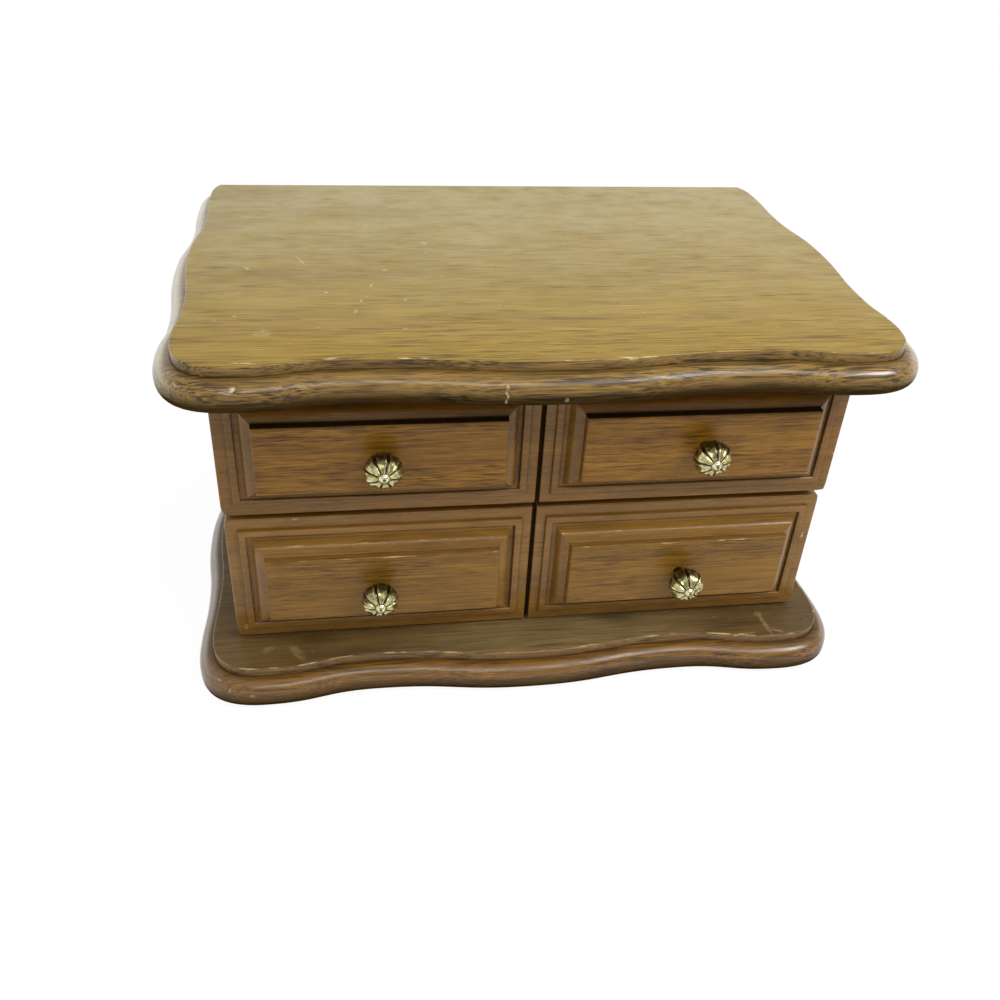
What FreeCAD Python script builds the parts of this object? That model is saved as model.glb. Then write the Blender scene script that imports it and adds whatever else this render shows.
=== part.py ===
import FreeCAD, Part
import math
import os
from FreeCAD import Vector

# A small wooden jewelry chest: a serpentine lid over a lined compartment, a full-width
# drawer below it, and a serpentine base board. Millimetres. X runs to the right, -Y is
# the front with the knobs, Z is up. The origin is on the ground, at the centre of the
# whole chest's width and depth.

# Case and fronts
BODY_W = 250.0            # width of the case and of both fronts
BODY_D = 165.0            # from the margin of the drawer front to the back of the case
HALF_W = BODY_W / 2
FRONT_H = 60.9            # height of the upper front and of the drawer front
FRONT_STOCK = 19.0        # thickness of a front at its raised fields
FRONT_CORNER_R = 2.0      # eased corners of the fronts
FRONT_RIM_R = 0.8         # eased rim of the fronts
UPPER_PROUD = 3.0         # how far the fixed upper front stands ahead of the drawer front
ROW_GAP = 4.0             # between the upper front and the drawer front
CENTRE_GROOVE_W = 1.9     # groove that parts each front into two panels
CENTRE_GROOVE_D = 3.0
WALL = 9.0                # sides and back of the case
FLOOR_T = 6.0             # floor of the upper compartment
DADO = 3.0                # how deep a board enters the groove that holds it

# Moulding round each raised field, measured inwards from the edge of its panel
MARGIN = 5.0
RISER = 1.5
CHANNEL_START = 8.0
CHANNEL_END = 10.0
CHANNEL_FLOOR = 0.5
SLOPE_RISE = 7.9
SLOPE_BULGE = 0.35
MOULDING_W = 15.0
FIELD_RISE = 9.2

# Lid and base boards: flat top, small upright step, then a rounded nose on three sides
BOARD_T = 15.8
STEP_H = 3.9
LEDGE = 0.5
NOSE_R = 5.9
SWERVE = 0.5              # handle length of the gentle curves of an outline
CORNER_SWERVE = 0.7       # handle length at the front corners
# Each knot: x from the centre line, y from the margin of the drawer front, direction
LID_KNOTS = [
    (0.0, -29.2, 0), (HALF_W - 52.0, -24.2, 0), (HALF_W - 12.0, -28.6, 0),
    (HALF_W + 9.2, -3.0, 90), (HALF_W + 7.5, 17.0, 90), (HALF_W + 11.3, 75.0, 90),
    (HALF_W + 8.1, BODY_D - 49.0, 90), (HALF_W + 9.2, BODY_D - 19.0, 90),
    (HALF_W + 1.0, BODY_D + 8.0, 127),
]
BASE_KNOTS = [
    (0.0, -20.3, 0), (HALF_W - 58.0, -15.2, 0), (HALF_W - 12.0, -20.2, 0),
    (HALF_W + 10.8, 4.0, 90), (HALF_W + 9.8, 33.0, 90), (HALF_W + 13.0, 83.0, 90),
    (HALF_W + 10.0, BODY_D - 41.0, 90), (HALF_W + 11.0, BODY_D - 15.0, 90),
    (HALF_W + 3.0, BODY_D + 11.0, 127),
]
CORNER_KNOT = 2           # the stretch after this knot is the front corner

# Heights
FELT_T = 2.0              # felt pads under the base
BASE_TOP = FELT_T + BOARD_T
DRAWER_FRONT_Z = BASE_TOP + 1.0
UPPER_FRONT_Z = DRAWER_FRONT_Z + FRONT_H + ROW_GAP
CASE_TOP = UPPER_FRONT_Z + FRONT_H
BUMPER_T = 0.9            # felt dots that the lid closes on
LID_Z = CASE_TOP + BUMPER_T
LID_TOP = LID_Z + BOARD_T

# Hinges
HINGE_INSET = 47.0        # centre of each hinge from the side of the case
HINGE_X = HALF_W - HINGE_INSET
HINGE_L = 25.0
HINGE_LEAF_T = 1.2
HINGE_LEAF_D = 8.4        # how far a leaf reaches into the board
HINGE_SCREW_X = 7.5       # leaf screws either side of the middle of the hinge
HINGE_KNUCKLE_R = 2.0
HINGE_PIN_R = 1.0
HINGE_RUNNING = 0.05      # radial clearance of the moving knuckle on its pin
HINGE_MID_L = 8.6         # length of the moving knuckle
HINGE_AXIAL_GAP = 0.2
HINGE_FACE_GAP = 0.3      # between the knuckles and the back of the case
HINGE_HEEL_R = 3.5        # stop heel that meets the back of the case when the lid is open
HINGE_HEEL_ANGLE = 30.0
PIN_HEAD_R = 1.5
PIN_HEAD_T = 0.4

# Where the chest stands: y = 0 is the middle of its whole depth
AXIS_OFF = HINGE_KNUCKLE_R + HINGE_FACE_GAP
FRONT_REACH = -LID_KNOTS[0][1] + LEDGE + NOSE_R
BACK_REACH = BODY_D + AXIS_OFF + HINGE_HEEL_R
FRONT_Y = (FRONT_REACH - BACK_REACH) / 2
BACK_Y = FRONT_Y + BODY_D
FRONT_MARGIN_T = FRONT_STOCK - FIELD_RISE
CASE_FRONT_Y = FRONT_Y + FRONT_MARGIN_T
INSIDE_X = HALF_W - WALL
INSIDE_BACK_Y = BACK_Y - WALL
FLOOR_TOP = UPPER_FRONT_Z
FLOOR_Z = FLOOR_TOP - FLOOR_T
AXIS_Y = BACK_Y + AXIS_OFF
AXIS_Z = CASE_TOP + BUMPER_T / 2

# Drawer box
DRAWER_SIDE_GAP = 1.0     # each side, to the case
DRAWER_TOP_GAP = 2.0
RUNNER_T = 2.0
RUNNER_W = 10.0
DRAWER_WALL = 6.0
DRAWER_BACK_GAP = 6.2     # behind the closed drawer, to the back of the case
DRAWER_BOTTOM_T = 3.0
DRAWER_BOTTOM_UP = 3.0    # bottom panel above the lower edge of the drawer sides
PANEL_PLAY = 0.2          # bottom panel in its grooves
DRAWER_X = INSIDE_X - DRAWER_SIDE_GAP
DRAWER_Z = BASE_TOP + RUNNER_T
DRAWER_TOP = FLOOR_Z - DRAWER_TOP_GAP
DRAWER_END_Y = INSIDE_BACK_Y - DRAWER_BACK_GAP

# Linings and fittings of the compartment
LINING_T = 1.5
LINING_DROP = 4.0         # lining stops this far below the top of its wall
PARTITION_T = 4.0
PARTITION_H = 42.0
PARTITION_CROSS = 74.5    # depth of the two front compartments
RING_BAY_W = 74.0
RING_COUNT = 7
RING_GAP = 0.6
RING_ROLL_H = 24.0
RING_ROLL_CROWN = 7.5
RING_ROLL_END_R = 3.0
RING_PLATFORM_H = 22.0
SOFT_PLAY = 0.5

# Mirror in the lid
MIRROR_W = 170.0
MIRROR_D = 104.0
MIRROR_T = 3.0
MIRROR_Y = FRONT_Y + BODY_D / 2
MIRROR_PLAY = 0.5
MIRROR_FRAME_W = 8.0
MIRROR_FRAME_T = 1.8
MIRROR_LAP = 2.5          # how far the frame laps over the glass

# Knobs and screws
KNOB_SHIFT = 1.0          # knobs stand this far outside the middle of their panels
KNOB_X = HALF_W / 2 + KNOB_SHIFT
KNOB_BALL_R = 7.5
KNOB_REACH = 8.1          # centre of the ball from the field
KNOB_NECK_R = 3.2
KNOB_COLLAR_R = 4.6
KNOB_COLLAR_T = 1.0
KNOB_PETALS = 8
KNOB_GROOVE_R = 0.55
KNOB_BOSS_R = 2.4
KNOB_BOSS_OUT = 0.8
KNOB_THREAD_L = 9.0
SCREW_R = 2.0
SCREW_HOLE_R = 2.2
SCREW_HEAD_R = 3.8
SCREW_HEAD_T = 1.9
SCREW_GRIP = 8.0          # how far a knob screw enters its knob
WOOD_SCREW_R = 0.8
WOOD_SCREW_HEAD_R = 1.7
WOOD_SCREW_HEAD_T = 0.9
WOOD_SCREW_L = 7.0
BASE_SCREW_R = 1.6
BASE_SCREW_HEAD_R = 3.4
BASE_SCREW_HEAD_T = 1.8
BASE_SCREW_L = 32.0
BASE_SCREW_DEPTH = 3.0    # head sunk below the base
BASE_SCREW_INSET = 25.0   # first and last screw from the ends of the case side
BASE_SCREW_COUNT = 3      # along each side

# Felt
FELT_R = 8.0
FELT_INSET = 13.0         # centre of each pad from the side of the case
FELT_X = HALF_W - FELT_INSET
FELT_FRONT = 6.0          # front pads behind the margin of the drawer front
FELT_BACK = 15.0          # back pads ahead of the back of the case
BUMPER_R = 3.0
BUMPER_FRONT = 24.0
BUMPER_BACK = 24.0

SIDES = (("left", -1), ("right", 1))
EXTRA = 1.0               # overrun of cutting tools past the face that they open


def box(x0, x1, y0, y1, z0, z1):
    return Part.makeBox(x1 - x0, y1 - y0, z1 - z0, Vector(x0, y0, z0))


def mirrored_box(side, x0, x1, y0, y1, z0, z1):
    low, high = sorted((side * x0, side * x1))
    return box(low, high, y0, y1, z0, z1)


def cylinder(radius, start, end):
    axis = end - start
    return Part.makeCylinder(radius, axis.Length, start, axis)


def cone(radius_start, radius_end, start, end):
    axis = end - start
    return Part.makeCone(radius_start, radius_end, axis.Length, start, axis)


def save(name, shape):
    shape.exportStep("parts/" + name + ".step")


# Moulded boards
def knot_vectors(knot, grow, z):
    x, y, angle = knot
    along = Vector(math.cos(math.radians(angle)), math.sin(math.radians(angle)), 0)
    outward = Vector(along.y, -along.x, 0)
    return Vector(x, FRONT_Y + y, z) + outward * grow, along


def outline(knots, grow, z):
    right = []
    for i in range(len(knots) - 1):
        start, start_dir = knot_vectors(knots[i], grow, z)
        end, end_dir = knot_vectors(knots[i + 1], grow, z)
        handle = CORNER_SWERVE if i == CORNER_KNOT else SWERVE
        reach = end - start
        right.append([
            start,
            start + start_dir * (handle * reach.dot(start_dir)),
            end - end_dir * (handle * reach.dot(end_dir)),
            end,
        ])
    left = [[Vector(-p.x, p.y, p.z) for p in reversed(poles)] for poles in reversed(right)]
    edges = []
    for poles in right:
        edges.append(bezier(poles))
    edges.append(Part.makeLine(right[-1][-1], left[0][0]))
    for poles in left:
        edges.append(bezier(poles))
    return Part.Wire(edges)


def bezier(poles):
    curve = Part.BezierCurve()
    curve.setPoles(poles)
    return curve.toShape()


def moulded_board(knots, z):
    nose_out = LEDGE + NOSE_R
    nose = Part.Face(outline(knots, nose_out, z)).extrude(Vector(0, 0, BOARD_T - STEP_H))
    rim = [e for e in nose.Edges if is_nose_rim(e, knots)]
    nose = nose.makeFillet(NOSE_R, rim)
    top = Part.Face(outline(knots, 0.0, z)).extrude(Vector(0, 0, BOARD_T))
    board = nose.fuse(top)
    keep = box(-BODY_W, BODY_W, -BODY_W, BACK_Y, z - EXTRA, z + BOARD_T + EXTRA)
    return board.common(keep).removeSplitter()


def is_nose_rim(edge, knots):
    level = abs(edge.BoundBox.ZLength) < 1e-6
    behind = edge.BoundBox.YMin > FRONT_Y + knots[-1][1] - EXTRA
    return level and not behind


# Fronts with raised fields
def raised_profile(length):
    """Half-open outline (inset, rise) of a raised field across a panel of this length."""
    slope_mid = (
        (CHANNEL_END + MOULDING_W) / 2 - SLOPE_BULGE,
        (RISER + SLOPE_RISE) / 2 + SLOPE_BULGE,
    )
    rise = [(MARGIN, -EXTRA), (MARGIN, RISER), (CHANNEL_END, RISER)]
    arc = [(CHANNEL_END, RISER), slope_mid, (MOULDING_W, SLOPE_RISE)]
    crest = [(MOULDING_W, SLOPE_RISE), (MOULDING_W, FIELD_RISE)]
    mirror = [[(length - u, h) for u, h in reversed(run)] for run in (crest, arc, rise)]
    field = [crest[-1], mirror[0][0]]
    close = [mirror[2][-1], rise[0]]
    return [rise, arc, crest, field] + mirror + [close]


def profile_wire(length, place):
    edges = []
    for number, run in enumerate(raised_profile(length)):
        points = [place(u, h) for u, h in run]
        if number in (1, 5):
            edges.append(Part.Arc(*points).toShape())
        else:
            edges += [Part.makeLine(a, b) for a, b in zip(points, points[1:])]
    return Part.Wire(edges)


def raised_field(x0, z0, width, height, face_y):
    across = Part.Face(profile_wire(width, lambda u, h: Vector(x0 + u, face_y - h, z0)))
    across = across.extrude(Vector(0, 0, height))
    upward = Part.Face(profile_wire(height, lambda u, h: Vector(x0, face_y - h, z0 + u)))
    upward = upward.extrude(Vector(width, 0, 0))
    field = across.common(upward)
    return field.cut(channel(x0, z0, width, height, face_y))


def channel(x0, z0, width, height, face_y):
    low_y, high_y = face_y - RISER - EXTRA, face_y - CHANNEL_FLOOR
    outer = box(
        x0 + CHANNEL_START, x0 + width - CHANNEL_START, low_y, high_y,
        z0 + CHANNEL_START, z0 + height - CHANNEL_START,
    )
    inner = box(
        x0 + CHANNEL_END, x0 + width - CHANNEL_END, low_y - EXTRA, high_y + EXTRA,
        z0 + CHANNEL_END, z0 + height - CHANNEL_END,
    )
    return outer.cut(inner)


def front_board(face_y, z0):
    plate = box(-HALF_W, HALF_W, face_y, face_y + FRONT_MARGIN_T, z0, z0 + FRONT_H)
    corners = [e for e in plate.Edges if abs(e.BoundBox.YLength - FRONT_MARGIN_T) < 1e-6]
    plate = plate.makeFillet(FRONT_CORNER_R, corners)
    rim = [e for e in plate.Edges if e.BoundBox.YMax < face_y + 1e-6]
    board = plate.makeFillet(FRONT_RIM_R, rim)
    for x0 in (-HALF_W, 0.0):
        board = board.fuse(raised_field(x0, z0, HALF_W, FRONT_H, face_y))
    groove = box(
        -CENTRE_GROOVE_W / 2, CENTRE_GROOVE_W / 2, face_y - EXTRA,
        face_y + CENTRE_GROOVE_D, z0 - EXTRA, z0 + FRONT_H + EXTRA,
    )
    return board.cut(groove).removeSplitter()


# Knobs and their screws
def knob():
    """Cast melon knob that stands on the origin and points to the front."""
    foot = Vector(0, 0, 0)
    outward = Vector(0, -1, 0)
    centre = outward * KNOB_REACH
    shape = Part.makeSphere(KNOB_BALL_R, centre)
    for i in range(KNOB_PETALS // 2):
        turn = math.pi * i / (KNOB_PETALS // 2)
        flat_normal = Vector(math.cos(turn), 0, math.sin(turn))
        shape = shape.cut(Part.makeTorus(KNOB_BALL_R, KNOB_GROOVE_R, centre, flat_normal))
    pole = centre + outward * KNOB_BALL_R
    boss_centre = pole - outward * (KNOB_BOSS_R - KNOB_BOSS_OUT)
    shape = shape.cut(cylinder(KNOB_BOSS_R + KNOB_GROOVE_R, pole - outward * KNOB_GROOVE_R,
                               pole + outward * EXTRA))
    shape = shape.fuse(Part.makeSphere(KNOB_BOSS_R, boss_centre))
    shape = shape.fuse(cylinder(KNOB_NECK_R, foot, centre))
    shape = shape.fuse(cone(KNOB_COLLAR_R, KNOB_NECK_R, foot, foot + outward * KNOB_COLLAR_T))
    thread = cylinder(SCREW_R, foot - outward * EXTRA, foot + outward * KNOB_THREAD_L)
    return shape.cut(thread).removeSplitter()


def placed(shape, x, y, z):
    copy = shape.copy()
    copy.translate(Vector(x, y, z))
    return copy


def knob_screw(x, field_y, z, head_y):
    head_face = Vector(x, head_y, z)
    inward = Vector(0, -1, 0)
    tip = Vector(x, field_y - SCREW_GRIP, z)
    head = cone(SCREW_HEAD_R, SCREW_R, head_face, head_face + inward * SCREW_HEAD_T)
    return head.fuse(cylinder(SCREW_R, head_face, tip))


def knob_screw_hole(x, field_y, z, head_y):
    head_face = Vector(x, head_y, z)
    inward = Vector(0, -1, 0)
    end = Vector(x, field_y - EXTRA, z)
    sink = cone(SCREW_HEAD_R, SCREW_R, head_face, head_face + inward * SCREW_HEAD_T)
    return sink.fuse(cylinder(SCREW_HOLE_R, head_face + inward * SCREW_HEAD_T, end))


def wood_screw(face, inward, radius, head_r, head_t, length):
    head = cone(head_r, radius, face, face + inward * head_t)
    return head.fuse(cylinder(radius, face, face + inward * length))


# Case
def base_screw_places():
    places = []
    first = CASE_FRONT_Y + BASE_SCREW_INSET
    pitch = (BACK_Y - BASE_SCREW_INSET - first) / (BASE_SCREW_COUNT - 1)
    for _, side in SIDES:
        for i in range(BASE_SCREW_COUNT):
            places.append(Vector(side * (HALF_W - WALL / 2), first + i * pitch,
                                 FELT_T + BASE_SCREW_DEPTH))
    return places


def base_screws():
    return [
        wood_screw(place, Vector(0, 0, 1), BASE_SCREW_R, BASE_SCREW_HEAD_R,
                   BASE_SCREW_HEAD_T, BASE_SCREW_L)
        for place in base_screw_places()
    ]


def base_board():
    board = moulded_board(BASE_KNOTS, FELT_T)
    for place, screw in zip(base_screw_places(), base_screws()):
        well = cylinder(BASE_SCREW_HEAD_R, Vector(place.x, place.y, FELT_T - EXTRA), place)
        board = board.cut(well).cut(screw)
    return board


def case_side(side):
    board = mirrored_box(side, INSIDE_X, HALF_W, CASE_FRONT_Y, BACK_Y, BASE_TOP, CASE_TOP)
    dado = mirrored_box(side, INSIDE_X - EXTRA, INSIDE_X + DADO, CASE_FRONT_Y - EXTRA,
                        INSIDE_BACK_Y, FLOOR_Z, FLOOR_TOP)
    board = board.cut(dado)
    for screw in base_screws():
        board = board.cut(screw)
    return board


def case_back():
    board = box(-INSIDE_X, INSIDE_X, INSIDE_BACK_Y, BACK_Y, BASE_TOP, CASE_TOP)
    for _, side in SIDES:
        board = board.cut(leaf_slab(side, CASE_TOP - HINGE_LEAF_T, CASE_TOP + EXTRA))
        for screw in leaf_screws(side, CASE_TOP, -1):
            board = board.cut(screw)
    return board


def compartment_floor():
    reach = INSIDE_X + DADO
    return box(-reach, reach, CASE_FRONT_Y, INSIDE_BACK_Y, FLOOR_Z, FLOOR_TOP)


def upper_field_y():
    return FRONT_Y - UPPER_PROUD - FIELD_RISE


def drawer_field_y():
    return FRONT_Y - FIELD_RISE


def knob_height(front_z):
    return front_z + FRONT_H / 2


def upper_backer():
    face_y = CASE_FRONT_Y - UPPER_PROUD
    board = box(-HALF_W, HALF_W, face_y, CASE_FRONT_Y, UPPER_FRONT_Z, CASE_TOP)
    for _, side in SIDES:
        board = board.cut(knob_screw_hole(side * KNOB_X, upper_field_y(),
                                          knob_height(UPPER_FRONT_Z), CASE_FRONT_Y))
    return board


def upper_front():
    board = front_board(FRONT_Y - UPPER_PROUD, UPPER_FRONT_Z)
    for _, side in SIDES:
        board = board.cut(knob_screw_hole(side * KNOB_X, upper_field_y(),
                                          knob_height(UPPER_FRONT_Z), CASE_FRONT_Y))
    return board


def felt_pads():
    pads = []
    for depth, y in (("front", FRONT_Y + FELT_FRONT), ("back", BACK_Y - FELT_BACK)):
        for label, side in SIDES:
            foot = Vector(side * FELT_X, y, 0)
            pad = cylinder(FELT_R, foot, foot + Vector(0, 0, FELT_T))
            pads.append(("felt_pad_" + depth + "_" + label, pad))
    return pads


def lid_bumpers():
    dots = []
    for y in (CASE_FRONT_Y + BUMPER_FRONT, BACK_Y - BUMPER_BACK):
        for _, side in SIDES:
            foot = Vector(side * (HALF_W - WALL / 2), y, CASE_TOP)
            dots.append(cylinder(BUMPER_R, foot, foot + Vector(0, 0, BUMPER_T)))
    return dots


# Hinges
def hinge_end(side, end):
    return side * HINGE_X + end * HINGE_L / 2


def leaf_slab(side, z0, z1):
    return box(hinge_end(side, -1), hinge_end(side, 1), BACK_Y - HINGE_LEAF_D, BACK_Y + EXTRA,
               z0, z1)


def leaf_screws(side, z, way):
    screws = []
    for end in (-1, 1):
        face = Vector(side * HINGE_X + end * HINGE_SCREW_X, BACK_Y - HINGE_LEAF_D / 2, z)
        screws.append(wood_screw(face, Vector(0, 0, way), WOOD_SCREW_R, WOOD_SCREW_HEAD_R,
                                 WOOD_SCREW_HEAD_T, WOOD_SCREW_L))
    return screws


def knuckle_spans(side):
    centre = side * HINGE_X
    half, mid, gap = HINGE_L / 2, HINGE_MID_L / 2, HINGE_AXIAL_GAP
    outer = [(centre - half, centre - mid - gap), (centre + mid + gap, centre + half)]
    return outer, (centre - mid, centre + mid)


def hinge_leaf(side, z0, z1, spans, bore_r):
    y0 = BACK_Y - HINGE_LEAF_D
    leaf = box(hinge_end(side, -1), hinge_end(side, 1), y0, BACK_Y, z0, z1)
    for x0, x1 in spans:
        leaf = leaf.fuse(box(x0, x1, y0, AXIS_Y, z0, z1))
        leaf = leaf.fuse(cylinder(HINGE_KNUCKLE_R, Vector(x0, AXIS_Y, AXIS_Z),
                                  Vector(x1, AXIS_Y, AXIS_Z)))
    bore = cylinder(bore_r, Vector(hinge_end(side, -1) - EXTRA, AXIS_Y, AXIS_Z),
                    Vector(hinge_end(side, 1) + EXTRA, AXIS_Y, AXIS_Z))
    return leaf.cut(bore)


def fixed_leaf(side):
    outer, _ = knuckle_spans(side)
    leaf = hinge_leaf(side, CASE_TOP - HINGE_LEAF_T, CASE_TOP, outer, HINGE_PIN_R)
    for screw in leaf_screws(side, CASE_TOP, -1):
        leaf = leaf.cut(screw)
    return leaf


def moving_leaf(side):
    _, mid = knuckle_spans(side)
    bore_r = HINGE_PIN_R + HINGE_RUNNING
    leaf = hinge_leaf(side, LID_Z, LID_Z + HINGE_LEAF_T, [mid], bore_r)
    heel = Part.makeCylinder(HINGE_HEEL_R, mid[1] - mid[0], Vector(mid[0], AXIS_Y, AXIS_Z),
                             Vector(1, 0, 0), HINGE_HEEL_ANGLE)
    start = heel_turn(heel, mid[0])
    heel = start.cut(cylinder(HINGE_KNUCKLE_R * 0.75, Vector(mid[0] - EXTRA, AXIS_Y, AXIS_Z),
                              Vector(mid[1] + EXTRA, AXIS_Y, AXIS_Z)))
    leaf = leaf.fuse(heel)
    for screw in leaf_screws(side, LID_Z, 1):
        leaf = leaf.cut(screw)
    return leaf.removeSplitter()


def heel_turn(heel, x):
    """Turn the heel so that it fills the wedge from straight back to below it."""
    centre = heel.CenterOfMass
    now = math.degrees(math.atan2(centre.z - AXIS_Z, centre.y - AXIS_Y))
    turned = heel.copy()
    turned.rotate(Vector(x, AXIS_Y, AXIS_Z), Vector(1, 0, 0), -HINGE_HEEL_ANGLE / 2 - now)
    return turned


def hinge_pin(side):
    start = Vector(hinge_end(side, -1), AXIS_Y, AXIS_Z)
    end = Vector(hinge_end(side, 1), AXIS_Y, AXIS_Z)
    head = Vector(PIN_HEAD_T, 0, 0)
    pin = cylinder(HINGE_PIN_R, start, end)
    pin = pin.fuse(cylinder(PIN_HEAD_R, start - head, start))
    return pin.fuse(cylinder(PIN_HEAD_R, end, end + head))


# Lid
def mirror_span(extra):
    return (-MIRROR_W / 2 - extra, MIRROR_W / 2 + extra,
            MIRROR_Y - MIRROR_D / 2 - extra, MIRROR_Y + MIRROR_D / 2 + extra)


def lid_board():
    board = moulded_board(LID_KNOTS, LID_Z)
    board = board.cut(box(*mirror_span(MIRROR_PLAY), LID_Z - EXTRA, LID_Z + MIRROR_T))
    for _, side in SIDES:
        board = board.cut(leaf_slab(side, LID_Z - EXTRA, LID_Z + HINGE_LEAF_T))
        for screw in leaf_screws(side, LID_Z, 1):
            board = board.cut(screw)
    return board


def mirror_glass():
    return box(*mirror_span(0.0), LID_Z, LID_Z + MIRROR_T)


def mirror_frame():
    outer = box(*mirror_span(MIRROR_FRAME_W - MIRROR_LAP), LID_Z - MIRROR_FRAME_T, LID_Z)
    rim = [e for e in outer.Edges
           if e.BoundBox.ZMax < LID_Z - MIRROR_FRAME_T + 1e-6]
    outer = outer.makeFillet(MIRROR_FRAME_T * 0.6, rim)
    window = box(*mirror_span(-MIRROR_LAP), LID_Z - MIRROR_FRAME_T - EXTRA, LID_Z + EXTRA)
    return outer.cut(window)


# Drawer
def drawer_bottom_z():
    return DRAWER_Z + DRAWER_BOTTOM_UP


def bottom_groove():
    """Room of the bottom panel, with its play, cut out of the four walls."""
    reach = DRAWER_X - DRAWER_WALL + DADO
    z0 = drawer_bottom_z()
    return box(-reach, reach, CASE_FRONT_Y + DADO, DRAWER_END_Y - DADO, z0,
               z0 + DRAWER_BOTTOM_T)


def drawer_side(side):
    board = mirrored_box(side, DRAWER_X - DRAWER_WALL, DRAWER_X, CASE_FRONT_Y, DRAWER_END_Y,
                         DRAWER_Z, DRAWER_TOP)
    return board.cut(bottom_groove())


def drawer_inner_front():
    reach = DRAWER_X - DRAWER_WALL
    board = box(-reach, reach, CASE_FRONT_Y, CASE_FRONT_Y + DRAWER_WALL, DRAWER_Z, DRAWER_TOP)
    board = board.cut(bottom_groove())
    for _, side in SIDES:
        board = board.cut(drawer_screw_hole(side))
    return board


def drawer_back():
    reach = DRAWER_X - DRAWER_WALL
    board = box(-reach, reach, DRAWER_END_Y - DRAWER_WALL, DRAWER_END_Y, DRAWER_Z, DRAWER_TOP)
    return board.cut(bottom_groove())


def drawer_bottom():
    reach = DRAWER_X - DRAWER_WALL + DADO - PANEL_PLAY
    inset = DADO + PANEL_PLAY
    z0 = drawer_bottom_z()
    return box(-reach, reach, CASE_FRONT_Y + inset, DRAWER_END_Y - inset, z0,
               z0 + DRAWER_BOTTOM_T)


def drawer_screw_hole(side):
    return knob_screw_hole(side * KNOB_X, drawer_field_y(), knob_height(DRAWER_FRONT_Z),
                           CASE_FRONT_Y + DRAWER_WALL)


def drawer_front():
    board = front_board(FRONT_Y, DRAWER_FRONT_Z)
    for _, side in SIDES:
        board = board.cut(drawer_screw_hole(side))
    return board


def drawer_runner(side):
    return mirrored_box(side, INSIDE_X - RUNNER_W, INSIDE_X, CASE_FRONT_Y, INSIDE_BACK_Y,
                        BASE_TOP, BASE_TOP + RUNNER_T)


# Linings and soft fittings
def lining(prefix, x, y0, y1, z0, wall_top):
    """Floor pad and four wall pads of a lined space that runs from -x to x."""
    top = wall_top - LINING_DROP
    low = z0 + LINING_T
    return [
        (prefix + "_lining_floor", box(-x, x, y0, y1, z0, low)),
        (prefix + "_lining_front", box(-x, x, y0, y0 + LINING_T, low, top)),
        (prefix + "_lining_back", box(-x, x, y1 - LINING_T, y1, low, top)),
        (prefix + "_lining_left", box(-x, LINING_T - x, y0 + LINING_T, y1 - LINING_T, low, top)),
        (prefix + "_lining_right", box(x - LINING_T, x, y0 + LINING_T, y1 - LINING_T, low, top)),
    ]


def room():
    """Lined room of the upper compartment."""
    x = INSIDE_X - LINING_T
    return (-x, x, CASE_FRONT_Y + LINING_T, INSIDE_BACK_Y - LINING_T, FLOOR_TOP + LINING_T)


def partitions():
    x0, x1, y0, y1, z0 = room()
    main_x = x0 + RING_BAY_W
    cross_y = y0 + PARTITION_CROSS
    short_x = (main_x + PARTITION_T + x1) / 2
    top = z0 + PARTITION_H
    return [
        ("partition_main", box(main_x, main_x + PARTITION_T, y0, y1, z0, top)),
        ("partition_cross", box(main_x + PARTITION_T, x1, cross_y, cross_y + PARTITION_T, z0, top)),
        ("partition_short", box(short_x, short_x + PARTITION_T, y0, cross_y, z0, top)),
    ]


def ring_platform():
    x0, _, y0, y1, z0 = room()
    return box(x0, x0 + RING_BAY_W, y0, y1, z0, z0 + RING_PLATFORM_H)


def ring_rolls():
    x0, _, y0, y1, z0 = room()
    pitch = (y1 - y0) / RING_COUNT
    base = z0 + RING_PLATFORM_H
    rolls = []
    for i in range(RING_COUNT):
        start = y0 + i * pitch + RING_GAP / 2
        roll = box(x0 + SOFT_PLAY, x0 + RING_BAY_W - SOFT_PLAY, start, start + pitch - RING_GAP,
                   base, base + RING_ROLL_H)
        rolls.append(("ring_roll_" + str(i + 1), crowned(roll, base)))
    return rolls


def crowned(roll, base):
    """Round the long top edges, then the upright corners, of a ring roll."""
    top = base + RING_ROLL_H - 1e-6
    crown = [e for e in roll.Edges if e.BoundBox.ZMin > top and e.BoundBox.XLength > EXTRA]
    roll = roll.makeFillet(RING_ROLL_CROWN, crown)
    ends = [e for e in roll.Edges
            if e.BoundBox.XLength < 1e-6 and e.BoundBox.ZMax > base + EXTRA]
    return roll.makeFillet(RING_ROLL_END_R, ends)


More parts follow.
